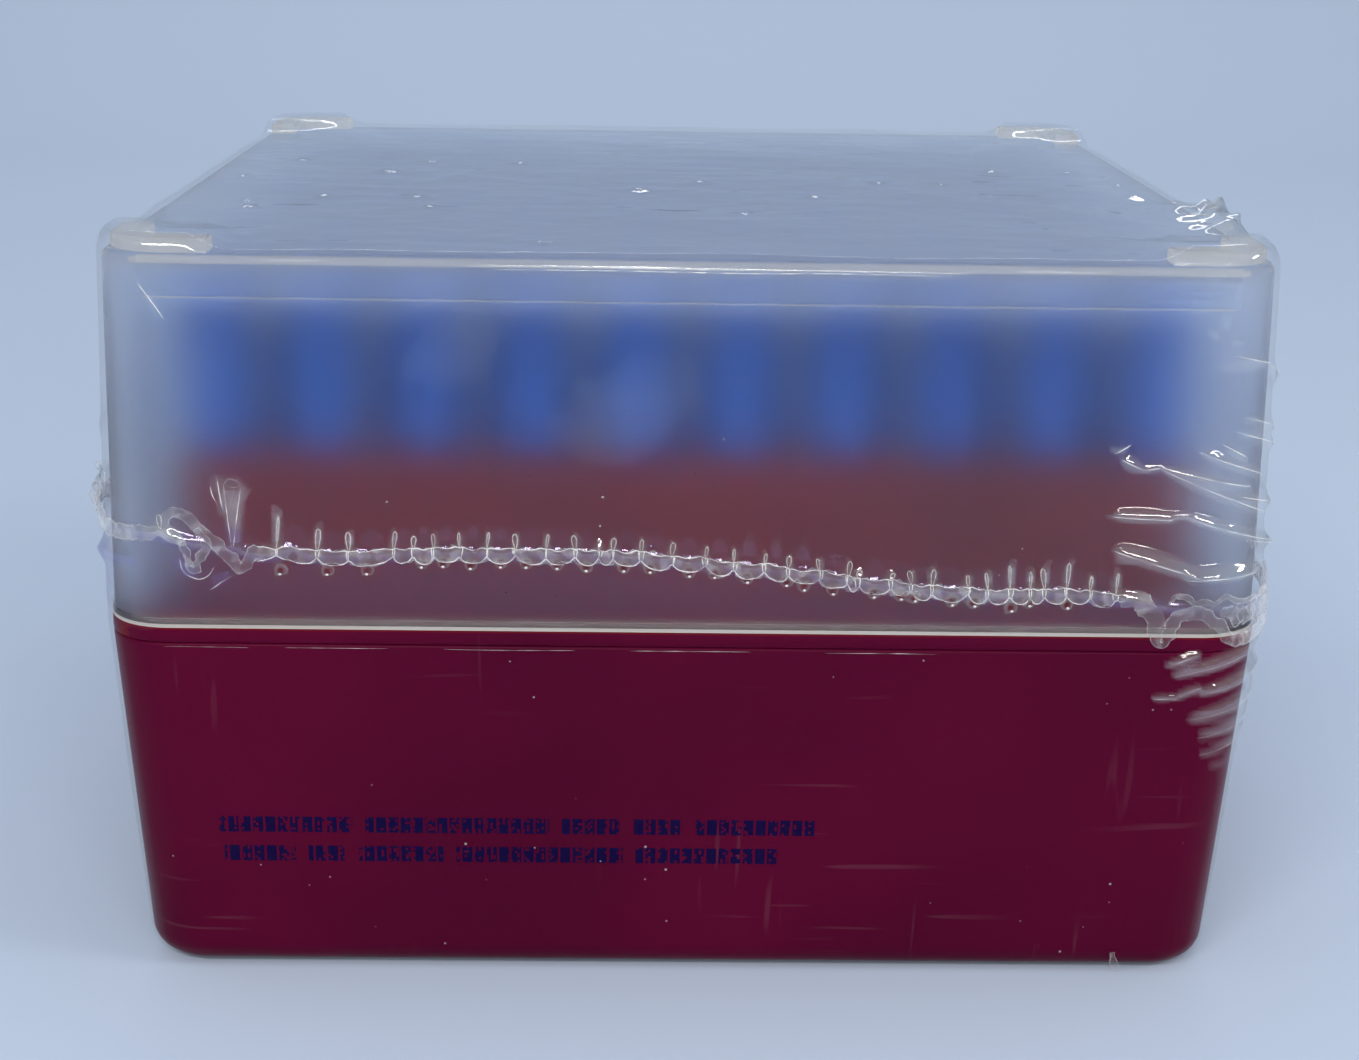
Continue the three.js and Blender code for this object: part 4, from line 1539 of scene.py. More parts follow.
@dataclass
class Film:
    """The shrink film: a thin skin round the box with its folds, pleats and slack top."""

    form: FilmForm  # Its smooth form
    weld: WeldLine  # Where its weld runs
    thickness: float = 0.08 * MM  # Its thickness
    folds: Tuple[Fold, ...] = folds_of(  # Folds on the sides, by distance round the box and height
        (45.1, 62.0, 46.8, 63.0, 0.5, 0.4), (46.0, 61.4, 48.3, 60.3, 0.8, 0.55),
        (48.3, 60.3, 50.1, 60.6, 0.5, 0.45), (50.1, 60.6, 60.4, 58.3, 0.55, 0.5),
        (50.4, 60.3, 64.0, 54.6, 0.8, 0.45), (45.2, 55.2, 51.7, 54.9, 0.95, 0.6, 1.6),
        (51.0, 54.9, 53.6, 55.6, 0.5, 0.4), (53.0, 55.2, 65.9, 51.2, 0.85, 0.6, 1.6),
        (45.7, 51.4, 54.8, 48.6, 1.15, 0.85, 1.8), (53.6, 48.3, 62.5, 48.9, 1.2, 0.95, 1.6),
        (45.6, 50.4, 47.9, 50.2, 0.4, 0.3), (54.2, 62.3, 62.7, 59.2, 0.7, 0.5),
        (56.7, 63.1, 59.7, 61.5, 0.6, 0.4), (58.8, 66.1, 66.6, 63.5, 0.7, 0.5),
        (58.0, 64.5, 66.8, 61.6, 0.7, 0.5), (57.1, 72.7, 62.0, 71.5, 0.5, 0.4),
        (55.5, 71.5, 62.0, 71.5, 0.5, 0.35), (61.6, 71.5, 67.0, 68.9, 0.7, 0.5),
        (56.3, 74.5, 59.8, 73.2, 0.4, 0.35), (54.2, 74.5, 55.4, 74.9, 0.45, 0.35),
        (55.8, 75.7, 56.8, 75.8, 0.35, 0.3), (59.0, 57.4, 68.0, 55.0, 0.8, 0.55),
        (60.5, 52.4, 70.0, 50.0, 0.9, 0.6), (52.1, 38.4, 55.7, 40.0, 0.6, 0.5),
        (51.0, 34.6, 53.7, 34.7, 0.5, 0.4), (53.4, 34.6, 56.4, 36.1, 0.55, 0.45),
        (56.2, 35.2, 66.2, 37.6, 0.9, 0.7, 1.5), (53.0, 37.2, 64.6, 40.6, 1.0, 0.6, 1.5),
        (55.7, 32.2, 66.5, 34.4, 1.1, 0.55, 1.4), (56.8, 29.9, 67.0, 32.0, 1.0, 0.5, 1.4),
        (57.4, 27.8, 66.0, 29.6, 0.9, 0.4, 1.4), (58.6, 26.0, 65.0, 27.2, 0.8, 0.3, 1.4),
        (-48.3, 58.3, -48.2, 50.4, 0.75, 0.7), (-49.5, 57.9, -49.3, 54.6, 0.3, 0.3),
        (-50.4, 57.4, -49.9, 56.2, 0.3, 0.25), (-48.7, 48.4, -50.6, 46.2, 0.5, 0.4),
        (-54.2, 49.8, -52.6, 47.6, 0.8, 0.5), (-57.9, 79.0, -54.9, 74.9, 0.55, 0.28),
        (-23.0, 81.1, 29.0, 80.8, 0.5, 0.32),
    )
    top_folds: Tuple[Fold, ...] = folds_of(  # Folds on the top, by x and y
        (-33.0, -10.0, -26.0, 3.0, 1.3, 0.32), (-25.5, -3.0, -20.5, -8.6, 1.0, 0.22),
        (-61.5, -42.0, -58.6, -30.0, 1.2, 0.3), (-56.0, -10.0, -51.0, 8.0, 1.4, 0.18),
        (44.0, -22.0, 49.0, -35.5, 1.2, 0.3), (48.0, -20.0, 51.0, -36.0, 1.0, 0.35),
        (52.0, -18.0, 57.5, -35.0, 1.1, 0.4), (55.5, -14.0, 60.5, -26.0, 1.0, 0.45),
        (50.0, -8.0, 57.0, -16.0, 1.3, 0.3), (53.0, -3.0, 58.5, 9.0, 1.2, 0.25),
        (40.0, 30.0, 57.0, 52.0, 2.2, 0.25), (-40.0, 34.0, -55.0, 55.0, 2.4, 0.25),
        (-40.0, -44.0, -52.0, -52.0, 1.8, 0.25), (42.0, -46.0, 54.0, -54.0, 1.8, 0.25),
    )
    pinholes: Tuple[Point, ...] = (  # Dents round the small air holes in the top, by x and y
        (-51.0, 13.0), (-33.6, 12.8), (-21.6, 12.0), (-38.4, 2.4), (-55.8, -5.4), (-51.8, -26.4),
        (-50.8, -32.2), (-32.2, -22.0), (-43.4, -21.8), (56.4, -2.8), (33.2, -3.6),
        (38.8, -14.0), (52.0, 9.2), (41.8, 9.8), (-5.5, -12.6), (25.2, -4.7), (2.2, -5.2),
        (-29.9, -30.8), (6.7, -32.9), (16.0, -16.8), (-15.4, -56.0),
    )
    # Corners with smaller folds: distance round the box, how many, and heights
    fans: Tuple[Tuple[float, int, float, float], ...] = (
        (74.0, 26, 27.0, 74.0), (179.0, 16, 30.0, 66.0), (-179.0, 16, 32.0, 68.0),
        (-68.0, 7, 44.0, 66.0),
    )
    relief: Relief = Relief()  # Its relief round the weld
    levels: Tuple[Fineness, ...] = (  # Where its faces are split, from the coarsest level on
        Fineness(10.0, 10.0, 1.0, (42.0, 92.0, 22.0, 80.0), 2.4, (-FAR, -FAR, FAR), 7.0, 62.0),
        Fineness(5.4, 4.4, 0.7, (44.0, 84.0, 25.0, 76.0), 1.8, (38.0, -50.0, 12.0), 3.0, 34.0),
        Fineness(3.3, 2.1, 0.54, (45.0, 67.0, 33.0, 62.5), 1.2),
    )
    lug_rise: float = 1.5 * MM  # How far the lid's lugs lift it
    coarse_from: float = 92 * MM  # Distance round the box past which its folds are broad and soft
    flat_cuts: int = 33  # Cuts across the flat part of a side
    side_cuts: int = 22  # Cuts up a side

    def grid(self) -> Model:
        """A block whose faces are cut small, smallest round the weld and the folded corner."""
        form = self.form
        model = Model.column("shrink_film_skin", form.rim, 0.0, form.top_z)
        inner = form.rim - form.top_edge
        for axis in range(2):
            for place in (-inner, -form.flat, form.flat, inner):
                model.slice(axis, place)
        for place in (form.floor_edge, form.top_z - form.top_edge):
            model.slice(2, place)
        for axis in range(2):
            model.divide(axis, -form.flat, form.flat, self.flat_cuts)
            for sign in (-1, 1):
                for low, high, cuts in ((form.flat, inner, 3), (inner, form.rim, 1)):
                    ends = sorted((sign * low, sign * high))
                    model.divide(axis, ends[0], ends[1], cuts)
        model.divide(2, 0, form.floor_edge, 3)
        model.divide(2, form.floor_edge, form.top_z - form.top_edge, self.side_cuts)
        model.divide(2, form.top_z - form.top_edge, form.top_z, 2)
        for level in self.levels:
            model.refine(self.region(level))
        return model

    def region(self, level: Fineness) -> Test:
        """Which faces are split at a level of fineness."""
        form, holes, front = self.form, np.array(self.pinholes) * MM, 72.0
        left, right, low, high = level.patch

        def on_top(at: Vector) -> bool:
            least_x, least_y, most_y = level.ear
            ear = at.x > least_x * MM and least_y * MM < at.y < most_y * MM
            hole = np.hypot(*(holes - np.array(at[:2])).T).min() < level.hole * MM
            return at.z > MM and (ear or hole)

        def test(at: Vector, normal: Vector) -> bool:
            if abs(normal.z) > 0.5:
                return on_top(at)
            turned = np.array([[abs(at.x), abs(at.y)]])
            sign = np.array([[1.0 if at.x >= 0 else -1.0, 1.0 if at.y >= 0 else -1.0]])
            s = float(form.round_of(turned, sign)[0]) / MM
            z = at.z / MM
            off = z - self.weld.foot(s)
            reach = 1.0 if abs(s) < front else level.calm
            welded = -level.below * reach < off < level.above * reach
            folded = left < s < right and low < z < high
            edge = z > form.top_z / MM - level.edge
            return welded or folded or (edge and at.y < 0 and abs(s) < level.lined)

        return test

    def side_rise(self, s: Array, z: Array) -> Array:
        """How far the sides stand out from the smooth form."""
        places, relief = np.column_stack([s, z]), self.relief
        rise = sum(fold.rise(places) for fold in self.folds)
        rise += sum(fold.rise(places) for fold in self.corner_folds())
        off = z - self.weld.height(s)
        rise += relief.ridge * np.exp(-((off / relief.ridge_half) ** 2))
        wave = np.cos(2 * math.pi * self.weld.phase(s))
        above, below = np.clip(off, 0, None), np.clip(-off, 0, None)
        wave *= np.exp(-above / relief.gather_up) * np.exp(-((below / relief.gather_down) ** 2))
        rise += relief.gather * wave
        for place, height in self.weld.pleats():
            near = np.abs(s - place * MM) < 3 * MM
            if near.any():
                foot = self.weld.foot(place)
                pleat = Fold((place, foot + 0.3), (place + 0.15, foot + height), *relief.pleat)
                rise[near] += pleat.rise(places[near])
        for place, height in self.weld.dots:
            far = np.hypot(s - place * MM, z - height * MM) / relief.dot_half
            rise += relief.dot * np.exp(-far ** 2)
        return rise + relief.slack * Ripples(3, 14 * MM, 50 * MM).at(places)

    def corner_folds(self) -> List[Fold]:
        """Smaller folds that fan out round the corners, at seeded places."""
        random, weld_z = np.random.default_rng(21), 48
        folds = []
        for middle, count, low, high in self.fans:
            for _ in range(count):
                s = middle + random.uniform(-7, 7)
                z = random.uniform(low, high)
                run = random.uniform(5, 12)
                drop = (z - weld_z) * random.uniform(0.05, 0.16) * (1 if s > 0 else -1)
                width, height = random.uniform(0.6, 1.1), random.uniform(0.25, 0.6)
                if abs(middle) > self.coarse_from / MM:
                    width, height = 2 * width, 0.5 * height
                folds.append(Fold((s - run / 2, z), (s + run / 2, z - drop), width, height, 1.4))
        return folds

    def top_rise(self, places: Array) -> Array:
        """How far the top stands up from its flat form."""
        flat = places[:, :2]
        rise = sum(fold.rise(flat) for fold in self.top_folds)
        near, far_out = (np.sort(np.abs(flat), axis=1) / MM).T
        lug = ease(near, 49.2, 51.6) * (0.7 + 0.3 * ease(far_out, 54.0, 58.5))
        rise = rise + self.lug_rise * lug
        rim_height, pit_depth = 0.22 * MM, 0.12 * MM
        for x, y in self.pinholes:
            far = np.hypot(flat[:, 0] - x * MM, flat[:, 1] - y * MM) / MM
            rise += rim_height * np.exp(-((far - 0.9) / 0.5) ** 2)
            rise -= pit_depth * np.exp(-(far / 0.6) ** 2)
        slow = 0.09 * MM * Ripples(5, 16 * MM, 45 * MM).at(flat)
        stretched = np.column_stack([flat[:, 0] * 0.35 + flat[:, 1] * 0.12, flat[:, 1]])
        return rise + slow + 0.05 * MM * Ripples(9, 4 * MM, 9 * MM).at(stretched)

    def ear(self, places: Array) -> Array:
        """The crumpled ear of spare film on the top's right edge, as moves of each place."""
        x, y, z = places.T
        near = np.exp(-((x - 61.5 * MM) / (3.4 * MM)) ** 2 - ((z - 82 * MM) / (3 * MM)) ** 2)
        body = ease(y, -46 * MM, -40 * MM) * (1 - ease(y, -26 * MM, -19 * MM))
        crumple = np.column_stack([
            Ripples(31 + axis, 2.4 * MM, 6 * MM, 10).at(places) for axis in range(3)
        ])
        lift, rough = np.array([0.75, 0.0, 1.15]) * MM, np.array([0.55, 0.4, 0.75])
        return (near * body)[:, None] * (lift + crumple * rough * MM)

    def build(self, finishes: Finishes) -> Piece:
        """Cuts the block, draws it onto the form and folds it."""
        model = self.grid()
        rest_selection()
        draped = self.form.drape(vertices_of(model.object))
        smooth, normals = draped.places, draped.normals
        rise = self.side_rise(draped.s, smooth[:, 2]) * ease(smooth[:, 2], 0, 6 * MM)
        level = np.sqrt(np.clip(1 - normals[:, 2] ** 2, 0, 1))
        places = smooth + normals * (rise * level)[:, None]
        over = draped.top * (smooth[:, 2] > self.form.rim_low)
        places[:, 2] += self.top_rise(smooth) * over
        places += self.ear(smooth)
        places[:, 2] = np.maximum(places[:, 2], 0.0)
        move_vertices(model.object, places)
        self.mark(model.object, draped, rise)
        dress(model.object, finishes.film, finishes.film_inside)
        model.apply(
            "skin", "SOLIDIFY", thickness=self.thickness, offset=-1.0, material_offset=1
        )
        piece = model.finish(angle=80.0, weigh=False)
        ride_root(piece, "clear_film", "shrink_film")
        piece.visible_shadow = False
        return piece

    def mark(self, piece: Piece, draped: Draped, rise: Array) -> None:
        """Records how gathered and how slack the film is at each vertex, from zero to one.

        Args:
            piece: The film's mesh.
            draped: The smooth form under each vertex.
            rise: How far each vertex stands out from the sides.
        """
        flat, soft_share = draped.places[:, :2], 0.35
        on_top = np.abs(sum(fold.rise(flat) for fold in self.top_folds)) * draped.top
        share = np.clip((np.abs(rise) - 0.08 * MM) / (0.3 * MM), 0, 1) * (1 - draped.top)
        share *= np.where(np.abs(draped.s) > self.coarse_from, soft_share, 1.0)
        share += np.clip(on_top / (0.4 * MM), 0, soft_share)
        for place in self.pinholes:
            far = np.linalg.norm(flat - np.array(place) * MM, axis=1) / (0.6 * MM)
            share += np.exp(-far ** 2) * draped.top
        crumpled = np.linalg.norm(self.ear(draped.places), axis=1) / (0.8 * MM)
        values = {
            GATHERED: np.clip(np.maximum(share, crumpled), 0, 1),
            SLACK: self.slack_at(draped.s, draped.places[:, 2]),
        }
        for name, value in values.items():
            attribute = piece.data.attributes.new(name, "FLOAT", "POINT")
            attribute.data.foreach_set("value", value.astype(np.float32))

    def slack_at(self, s: Array, z: Array) -> Array:
        """How slack the film is under the weld and between its pleats; -1 in its dents, where the
        film paints dark red shade; where it is slack, it paints a bluish reflection.
        """
        off = z - self.weld.height(s)
        band = ease(z, 42.2 * MM, 43.4 * MM) * (1 - ease(off, -0.4 * MM, 0.1 * MM))
        marks = [place for place, _ in self.weld.pleats()]
        for one, other in zip(marks, marks[1:]):
            if other - one > 1.8:
                across = (s - (one + other) / 2 * MM) / ((other - one) * 0.38 * MM)
                dome = 1 - ease(np.hypot(across, (off - 0.6 * MM) / (2.6 * MM)), 0.75, 1.0)
                band = np.maximum(band, 0.7 * dome * (off > 0))
        for place, height in self.weld.dots:
            far = np.hypot(s - place * MM, z - height * MM) / (0.9 * MM)
            dent = np.exp(-far ** 4)
            band = band * (1 - dent) - dent
        return band


@dataclass
class Strand:
    """A gathered strand of welded film that lies on the sides."""

    form: FilmForm  # The film's form
    course: Array  # Distance round the box, height, distance out and half width, in millimetres
    depth: float = 0.7  # Its depth as a share of its width
    wobble: float = 0.16  # How crumpled it is
    closed: bool = False  # Whether it meets itself
    sides: int = 10  # Faces round its section
    seed: int = 11  # Seed of its crumples

    def rings(self) -> Array:
        """The places round the strand: rings along it, sides round it, and x, y, z."""
        s, z, out, wide = (self.course * MM).T
        feet, outward = self.form.side(s, z)
        path = feet + outward * out[:, None]
        if self.closed:
            along = np.roll(path, -1, axis=0) - np.roll(path, 1, axis=0)
        else:
            along = np.gradient(path, axis=0)
        along /= np.linalg.norm(along, axis=1)[:, None] + 1e-12
        across = np.cross(outward, along)
        across /= np.linalg.norm(across, axis=1)[:, None] + 1e-12
        away = np.cross(along, across)
        rings = []
        for side in range(self.sides):
            turn = 2 * math.pi * side / self.sides
            reach = across * math.cos(turn) + away * math.sin(turn) * self.depth
            rings.append(path + wide[:, None] * reach)
        shape = np.stack(rings, axis=1)
        rough = Ripples(self.seed, 0.7 * MM, 2.2 * MM, 12).at(shape.reshape(-1, 3))
        rough = 1 + self.wobble * rough.reshape(len(path), self.sides, 1)
        return path[:, None] + (shape - path[:, None]) * rough


def skin_strands(
    name: str, strands: Sequence[Strand], material: Material
) -> Piece:
    """Makes one piece of strands.

    Args:
        name: The piece's name.
        strands: The strands, each a closed body.
        material: Its material.

    Returns:
        The finished piece.
    """
    places: List[List[float]] = []
    faces: List[Tuple[int, ...]] = []
    for strand in strands:
        rings = strand.rings()
        count, sides = rings.shape[:2]
        number = np.arange(count * sides).reshape(count, sides) + len(places)
        last = count if strand.closed else count - 1
        for i in range(last):
            here, there = number[i], number[(i + 1) % count]
            for k in range(sides):
                turned = (k + 1) % sides
                corners = (here[k], here[turned], there[turned], there[k])
                faces.append(tuple(int(corner) for corner in corners))
        if not strand.closed:
            faces.append(tuple(int(corner) for corner in number[0][::-1]))
            faces.append(tuple(int(corner) for corner in number[-1]))
        places += rings.reshape(-1, 3).tolist()
    mesh = bpy.data.meshes.new(name)
    mesh.from_pydata(places, [], faces)
    piece = bpy.data.objects.new(name, mesh)
    bpy.context.scene.collection.objects.link(piece)
    activate(piece)
    model = Model(name)
    model.turn_outward()
    piece = model.finish(angle=70.0, weigh=False)
    dress(piece, material)
    ride_root(piece, "clear_film")
    return piece


@dataclass
class Weld:
    """The gathered weld bead round the box, with its loop, knot and crumpled ends."""

    form: FilmForm  # The film's form
    line: WeldLine  # Where the weld runs
    film: Film  # The film, along whose crests highlight lines are painted
    loop: Tuple[Bend, ...] = (  # The loop on the front's left: s, z, distance out and half width
        (-54.2, 51.8, 0.5, 0.55), (-53.5, 51.3, 0.7, 0.5), (-54.4, 52.6, 1.3, 0.45),
        (-55.1, 54.0, 1.7, 0.5), (-54.2, 54.9, 1.7, 0.55), (-52.7, 54.4, 1.6, 0.6),
        (-51.4, 52.9, 1.5, 0.65), (-49.8, 51.3, 1.3, 0.7), (-48.5, 49.9, 1.1, 0.7),
        (-47.5, 48.7, 0.9, 0.65), (-46.8, 49.3, 0.7, 0.6), (-46.4, 50.1, 0.5, 0.55),
    )
    knot: Tuple[Bend, ...] = (  # The knot and the arc on the front's right
        (47.0, 45.8, 0.6, 0.6), (48.2, 46.2, 0.9, 0.95), (49.4, 45.3, 1.2, 1.05),
        (50.3, 43.9, 1.3, 0.95), (50.2, 42.6, 1.3, 0.75), (51.1, 41.2, 1.2, 0.45),
        (51.7, 42.4, 1.2, 0.75), (52.2, 43.7, 1.1, 0.9), (53.4, 44.6, 0.9, 0.8),
        (55.2, 44.7, 0.9, 0.75), (56.9, 43.6, 0.9, 0.75), (58.1, 42.0, 0.9, 0.7),
        (59.6, 41.6, 0.8, 0.75), (61.9, 42.0, 0.7, 0.8), (64.4, 43.0, 0.6, 0.8),
        (66.6, 45.0, 0.6, 0.7), (69.0, 46.2, 0.5, 0.6),
    )
    scraps: Tuple[Tuple[str, Tuple[Bend, ...]], ...] = (  # Smaller strands by name
        ("weld_scrap_left", (
            (-53.6, 51.2, 0.6, 0.35), (-53.1, 49.9, 0.7, 0.45), (-52.5, 48.4, 0.7, 0.5),
            (-51.8, 49.6, 0.8, 0.5), (-51.0, 51.3, 0.9, 0.5), (-52.1, 53.0, 1.0, 0.35),
        )),
        ("weld_ruffle_right", (
            (51.9, 45.5, 0.5, 0.25), (52.4, 46.6, 0.8, 0.3), (53.8, 46.3, 0.6, 0.35),
            (54.5, 45.7, 0.5, 0.3), (55.6, 46.0, 0.7, 0.35), (56.6, 45.6, 0.5, 0.3),
            (57.7, 46.5, 0.8, 0.35), (59.3, 45.8, 0.6, 0.35), (61.2, 45.9, 0.6, 0.35),
            (64.3, 46.5, 0.6, 0.35), (67.0, 48.4, 0.4, 0.2),
        )),
        ("weld_fill_right", (
            (57.6, 44.6, 0.15, 0.5), (59.5, 44.2, 0.3, 1.1), (61.8, 44.2, 0.3, 1.2),
            (64.0, 44.8, 0.3, 1.0), (66.2, 45.8, 0.2, 0.5),
        )),
        ("weld_crumple_left", (
            (-68.6, 54.0, 0.3, 0.4), (-67.2, 55.2, 0.7, 0.8), (-66.0, 54.6, 0.8, 0.9),
            (-65.2, 53.4, 0.6, 0.5),
        )),
        ("weld_speck_left", (
            (-67.4, 57.2, 0.2, 0.25), (-66.8, 57.8, 0.5, 0.4), (-66.2, 58.3, 0.2, 0.2),
        )),
        ("film_tail", (
            (51.3, 3.0, 0.0, 0.3), (51.5, 1.9, 0.4, 0.45), (51.9, 0.9, 0.5, 0.25),
        )),
    )
    highlight_whiskers: Tuple[Tuple[Point, ...], ...] = (  # Painted highlights: fine bright lines on the film, along creases, the top front edge and the flange seam: s and z along each
        ((-49.1, 57.8), (-48.6, 58.25), (-47.9, 58.1), (-47.4, 57.6), (-47.9, 57.4),
         (-48.7, 57.5), (-49.1, 57.8)),
        ((-49.2, 57.6), (-48.9, 55.0), (-48.6, 52.5), (-48.4, 50.9)),
        ((-47.4, 57.2), (-47.7, 55.0), (-48.0, 52.5), (-48.2, 50.9)),
        ((-50.6, 57.4), (-50.4, 56.4), (-50.0, 55.6)),
        ((-49.9, 58.2), (-49.6, 56.5), (-49.3, 55.0)),
        ((-46.2, 48.5), (-49.0, 47.3), (-50.9, 46.0)),
        ((-53.9, 49.6), (-53.6, 48.2), (-52.2, 47.2), (-51.0, 47.6), (-50.4, 48.6)),
        ((-23.5, 81.0), (-12.0, 81.05), (2.0, 80.95), (14.0, 81.0), (28.0, 80.9)),
        ((-21.0, 80.65), (-8.0, 80.7), (6.0, 80.6), (15.0, 80.7), (27.0, 80.55)),
        ((-57.7, 78.8), (-56.4, 77.1), (-55.0, 75.0)),
        ((-57.5, 78.6), (-56.2, 76.9), (-55.1, 75.2)),
        ((-56.0, 39.6), (-52.0, 39.6), (-47.0, 39.55)),
        ((-43.0, 39.6), (-37.0, 39.6), (-32.0, 39.6)),
        ((-26.0, 39.6), (-20.0, 39.55), (-12.0, 39.6)),
        ((-6.0, 39.6), (-1.0, 39.6), (7.0, 39.6)),
        ((15.0, 39.55), (22.0, 39.6), (27.0, 39.55)),
    )
    step: float = 0.22  # Distance between places along a strand
    pinch_half: float = 0.38  # Half the bead's width where a pleat pinches it
    swell_half: float = 0.46  # How much it swells between two pleats
    sag_depth: float = 0.42  # How far it sags between two pleats
    stand_off: float = 0.45  # How far out the bead's middle stands
    bead_depth: float = 0.42  # The bead's depth as a share of its width
    loop_half: float = 0.2  # Half the width of a pleat's loop
    drop_radius: float = 0.19  # Radius of the bright drops, which paint glints
    drop_out: float = 0.95  # How far out the drops stand
    hem_place: float = 0.92  # Where the painted highlight edges lie, as a share of the bead's half width

    def crease(self, places: Array, seed: int) -> Strand:
        """A fine bright crease that lies on the film: a whitish strand that paints a highlight
        line.

        Args:
            places: s and z along it, in millimetres.
            seed: Seed of its uneven width.

        Returns:
            The crease as a strand.
        """
        line = self.resample(np.column_stack([places, 0 * places]))[:, :2]
        rise = self.film.side_rise(line[:, 0] * MM, line[:, 1] * MM) / MM
        along = np.linspace(0, math.pi, len(line))
        uneven = 0.5 + 0.5 * Ripples(seed, 1.5, 6.0, 8).at(line)
        least, more, on_tray, tray_top = 0.008, 0.045, 0.4, 41
        wide = least + more * np.clip(uneven, 0, 1) * np.sin(along) ** 0.5
        wide = wide if line[0, 1] > tray_top else on_tray * wide
        course = np.column_stack([line, rise + 0.05, wide])
        return Strand(self.form, course, wobble=0.2, sides=4)

    def highlight_strands(self) -> List[Strand]:
        """Painted highlight lines: creases along the listed lines and along the crests of the
        strong folds.
        """
        lines = [np.array(whisker) for whisker in self.highlight_whiskers]
        lines += [
            np.array([fold.start, fold.end]) for fold in self.film.folds
            if fold.height > 0.35 and fold.start[0] > 0
        ]
        return [self.crease(line, 80 + number) for number, line in enumerate(lines)]

    def hem_highlights(self, start: float, end: float) -> List[Strand]:
        """Painted highlights: bright edges along the front of the bead, and creases across it at
        each pleat, as whitish strands.
        """
        course = self.gathered(start, end)
        s, z, out, wide = course.T
        thin = 0.5 + 0.5 * Ripples(49, 1.0, 4.0, 10).at(course[:, :2])
        strands = []
        for side in (-1.0, 1.0):
            edge = np.column_stack([
                s, z + side * self.hem_place * wide, out + 0.1, 0.02 + 0.045 * np.clip(thin, 0, 1),
            ])
            strands.append(Strand(self.form, edge, wobble=0.25, sides=4))
        turn = np.linspace(-1, 1, 7)
        random = np.random.default_rng(57)
        for place, _ in self.line.pleats():
            if not start < place < end:
                continue
            for lean in random.uniform(-0.35, 0.35, 2):
                near = int(np.argmin(np.abs(s - place)))
                strands.append(Strand(self.form, np.column_stack([
                    place + lean + 0.25 * lean * turn, z[near] + turn * 0.9 * wide[near],
                    out[near] + (self.bead_depth * wide[near] + 0.05) * np.cos(turn * 1.2),
                    0.02 + 0.03 * np.cos(turn * 1.2),
                ]), wobble=0.25, sides=4))
        return strands

    def resample(self, course: Array) -> Array:
        """Evenly spaced places along a smooth line through a course, in millimetres."""
        before = np.vstack([2 * course[:1] - course[1:2], course[:-1]])
        after = np.vstack([course[1:], 2 * course[-1:] - course[-2:-1]])
        slopes = (after - before) / 2
        pieces = []
        for i in range(len(course) - 1):
            length = np.linalg.norm(course[i + 1, :3] - course[i, :3])
            t = np.linspace(0, 1, max(int(length / self.step), 2), endpoint=False)[:, None]
            pieces.append(
                course[i] * (2 * t ** 3 - 3 * t ** 2 + 1)
                + slopes[i] * (t ** 3 - 2 * t ** 2 + t)
                + course[i + 1] * (3 * t ** 2 - 2 * t ** 3)
                + slopes[i + 1] * (t ** 3 - t ** 2)
            )
        return np.vstack(pieces + [course[-1:]])

    def gathered(self, start: float, end: float) -> Array:
        """The scalloped bead from one distance round the box to another, in millimetres."""
        whole = 2 * self.form.half_round / MM
        s = np.arange(start, end, self.step)
        wrapped = ((s + whole / 2) % whole - whole / 2) * MM
        phase = self.line.phase(wrapped)
        sag = np.sin(math.pi * (phase % 1.0))
        places = np.column_stack([s, s * 0])
        drift = Ripples(41, 3.0, 9.0, 10).at(places)
        z = self.line.height(wrapped) / MM - self.sag_depth * sag + 0.22 + 0.12 * drift
        swell = Ripples(43, 2.0, 6.0, 10).at(places)
        notch = np.clip(sag * 1.8, 0, 1) ** 0.7
        wide = self.pinch_half + self.swell_half * notch + 0.08 * swell
        out = self.stand_off + 0.08 * drift + 0.12 * sag
        return np.column_stack([s, z, out, wide])

    def pleat(self, place: float, height: float, turns: int) -> Strand:
        """The folded edge of one pleat: a small upright loop that stands on the weld, whitish as a
        painted highlight.

        Args:
            place: Distance round the box, in millimetres.
            height: Height above the weld, in millimetres.
            turns: Places round the loop.

        Returns:
            The loop.
        """
        foot = self.line.foot(place) + 0.5
        turn = np.linspace(0, 2 * math.pi, turns, endpoint=False)
        up = (1 - np.cos(turn)) / 2
        lean = 0.25 * math.sin(7.0 * place)
        width = self.loop_half + 0.08 * math.cos(11.0 * place)
        course = np.column_stack([
            place + np.sin(turn) * width * (0.35 + up) + lean * up,
            foot + up * max(0.85 * height - 0.5, 0.7),
            0.3 + 0.15 * np.cos(turn),
            0.04 + 0.035 * up,
        ])
        return Strand(self.form, course, closed=True, wobble=0.25, sides=4)

    def speck(self, place: float, height: float) -> Strand:
        """A bright drop in one of the dents under the weld, a painted glint; all in millimetres.
        """
        along = np.linspace(-0.9, 0.9, 5) * self.drop_radius
        level = np.ones_like(along)
        slim = np.sqrt(np.clip(self.drop_radius ** 2 - along ** 2, 0.03 ** 2, None))
        course = np.column_stack([
            place + along, (height - 0.2) * level, self.drop_out * level, 0.7 * slim,
        ])
        return Strand(self.form, course, wobble=0.1, sides=6)

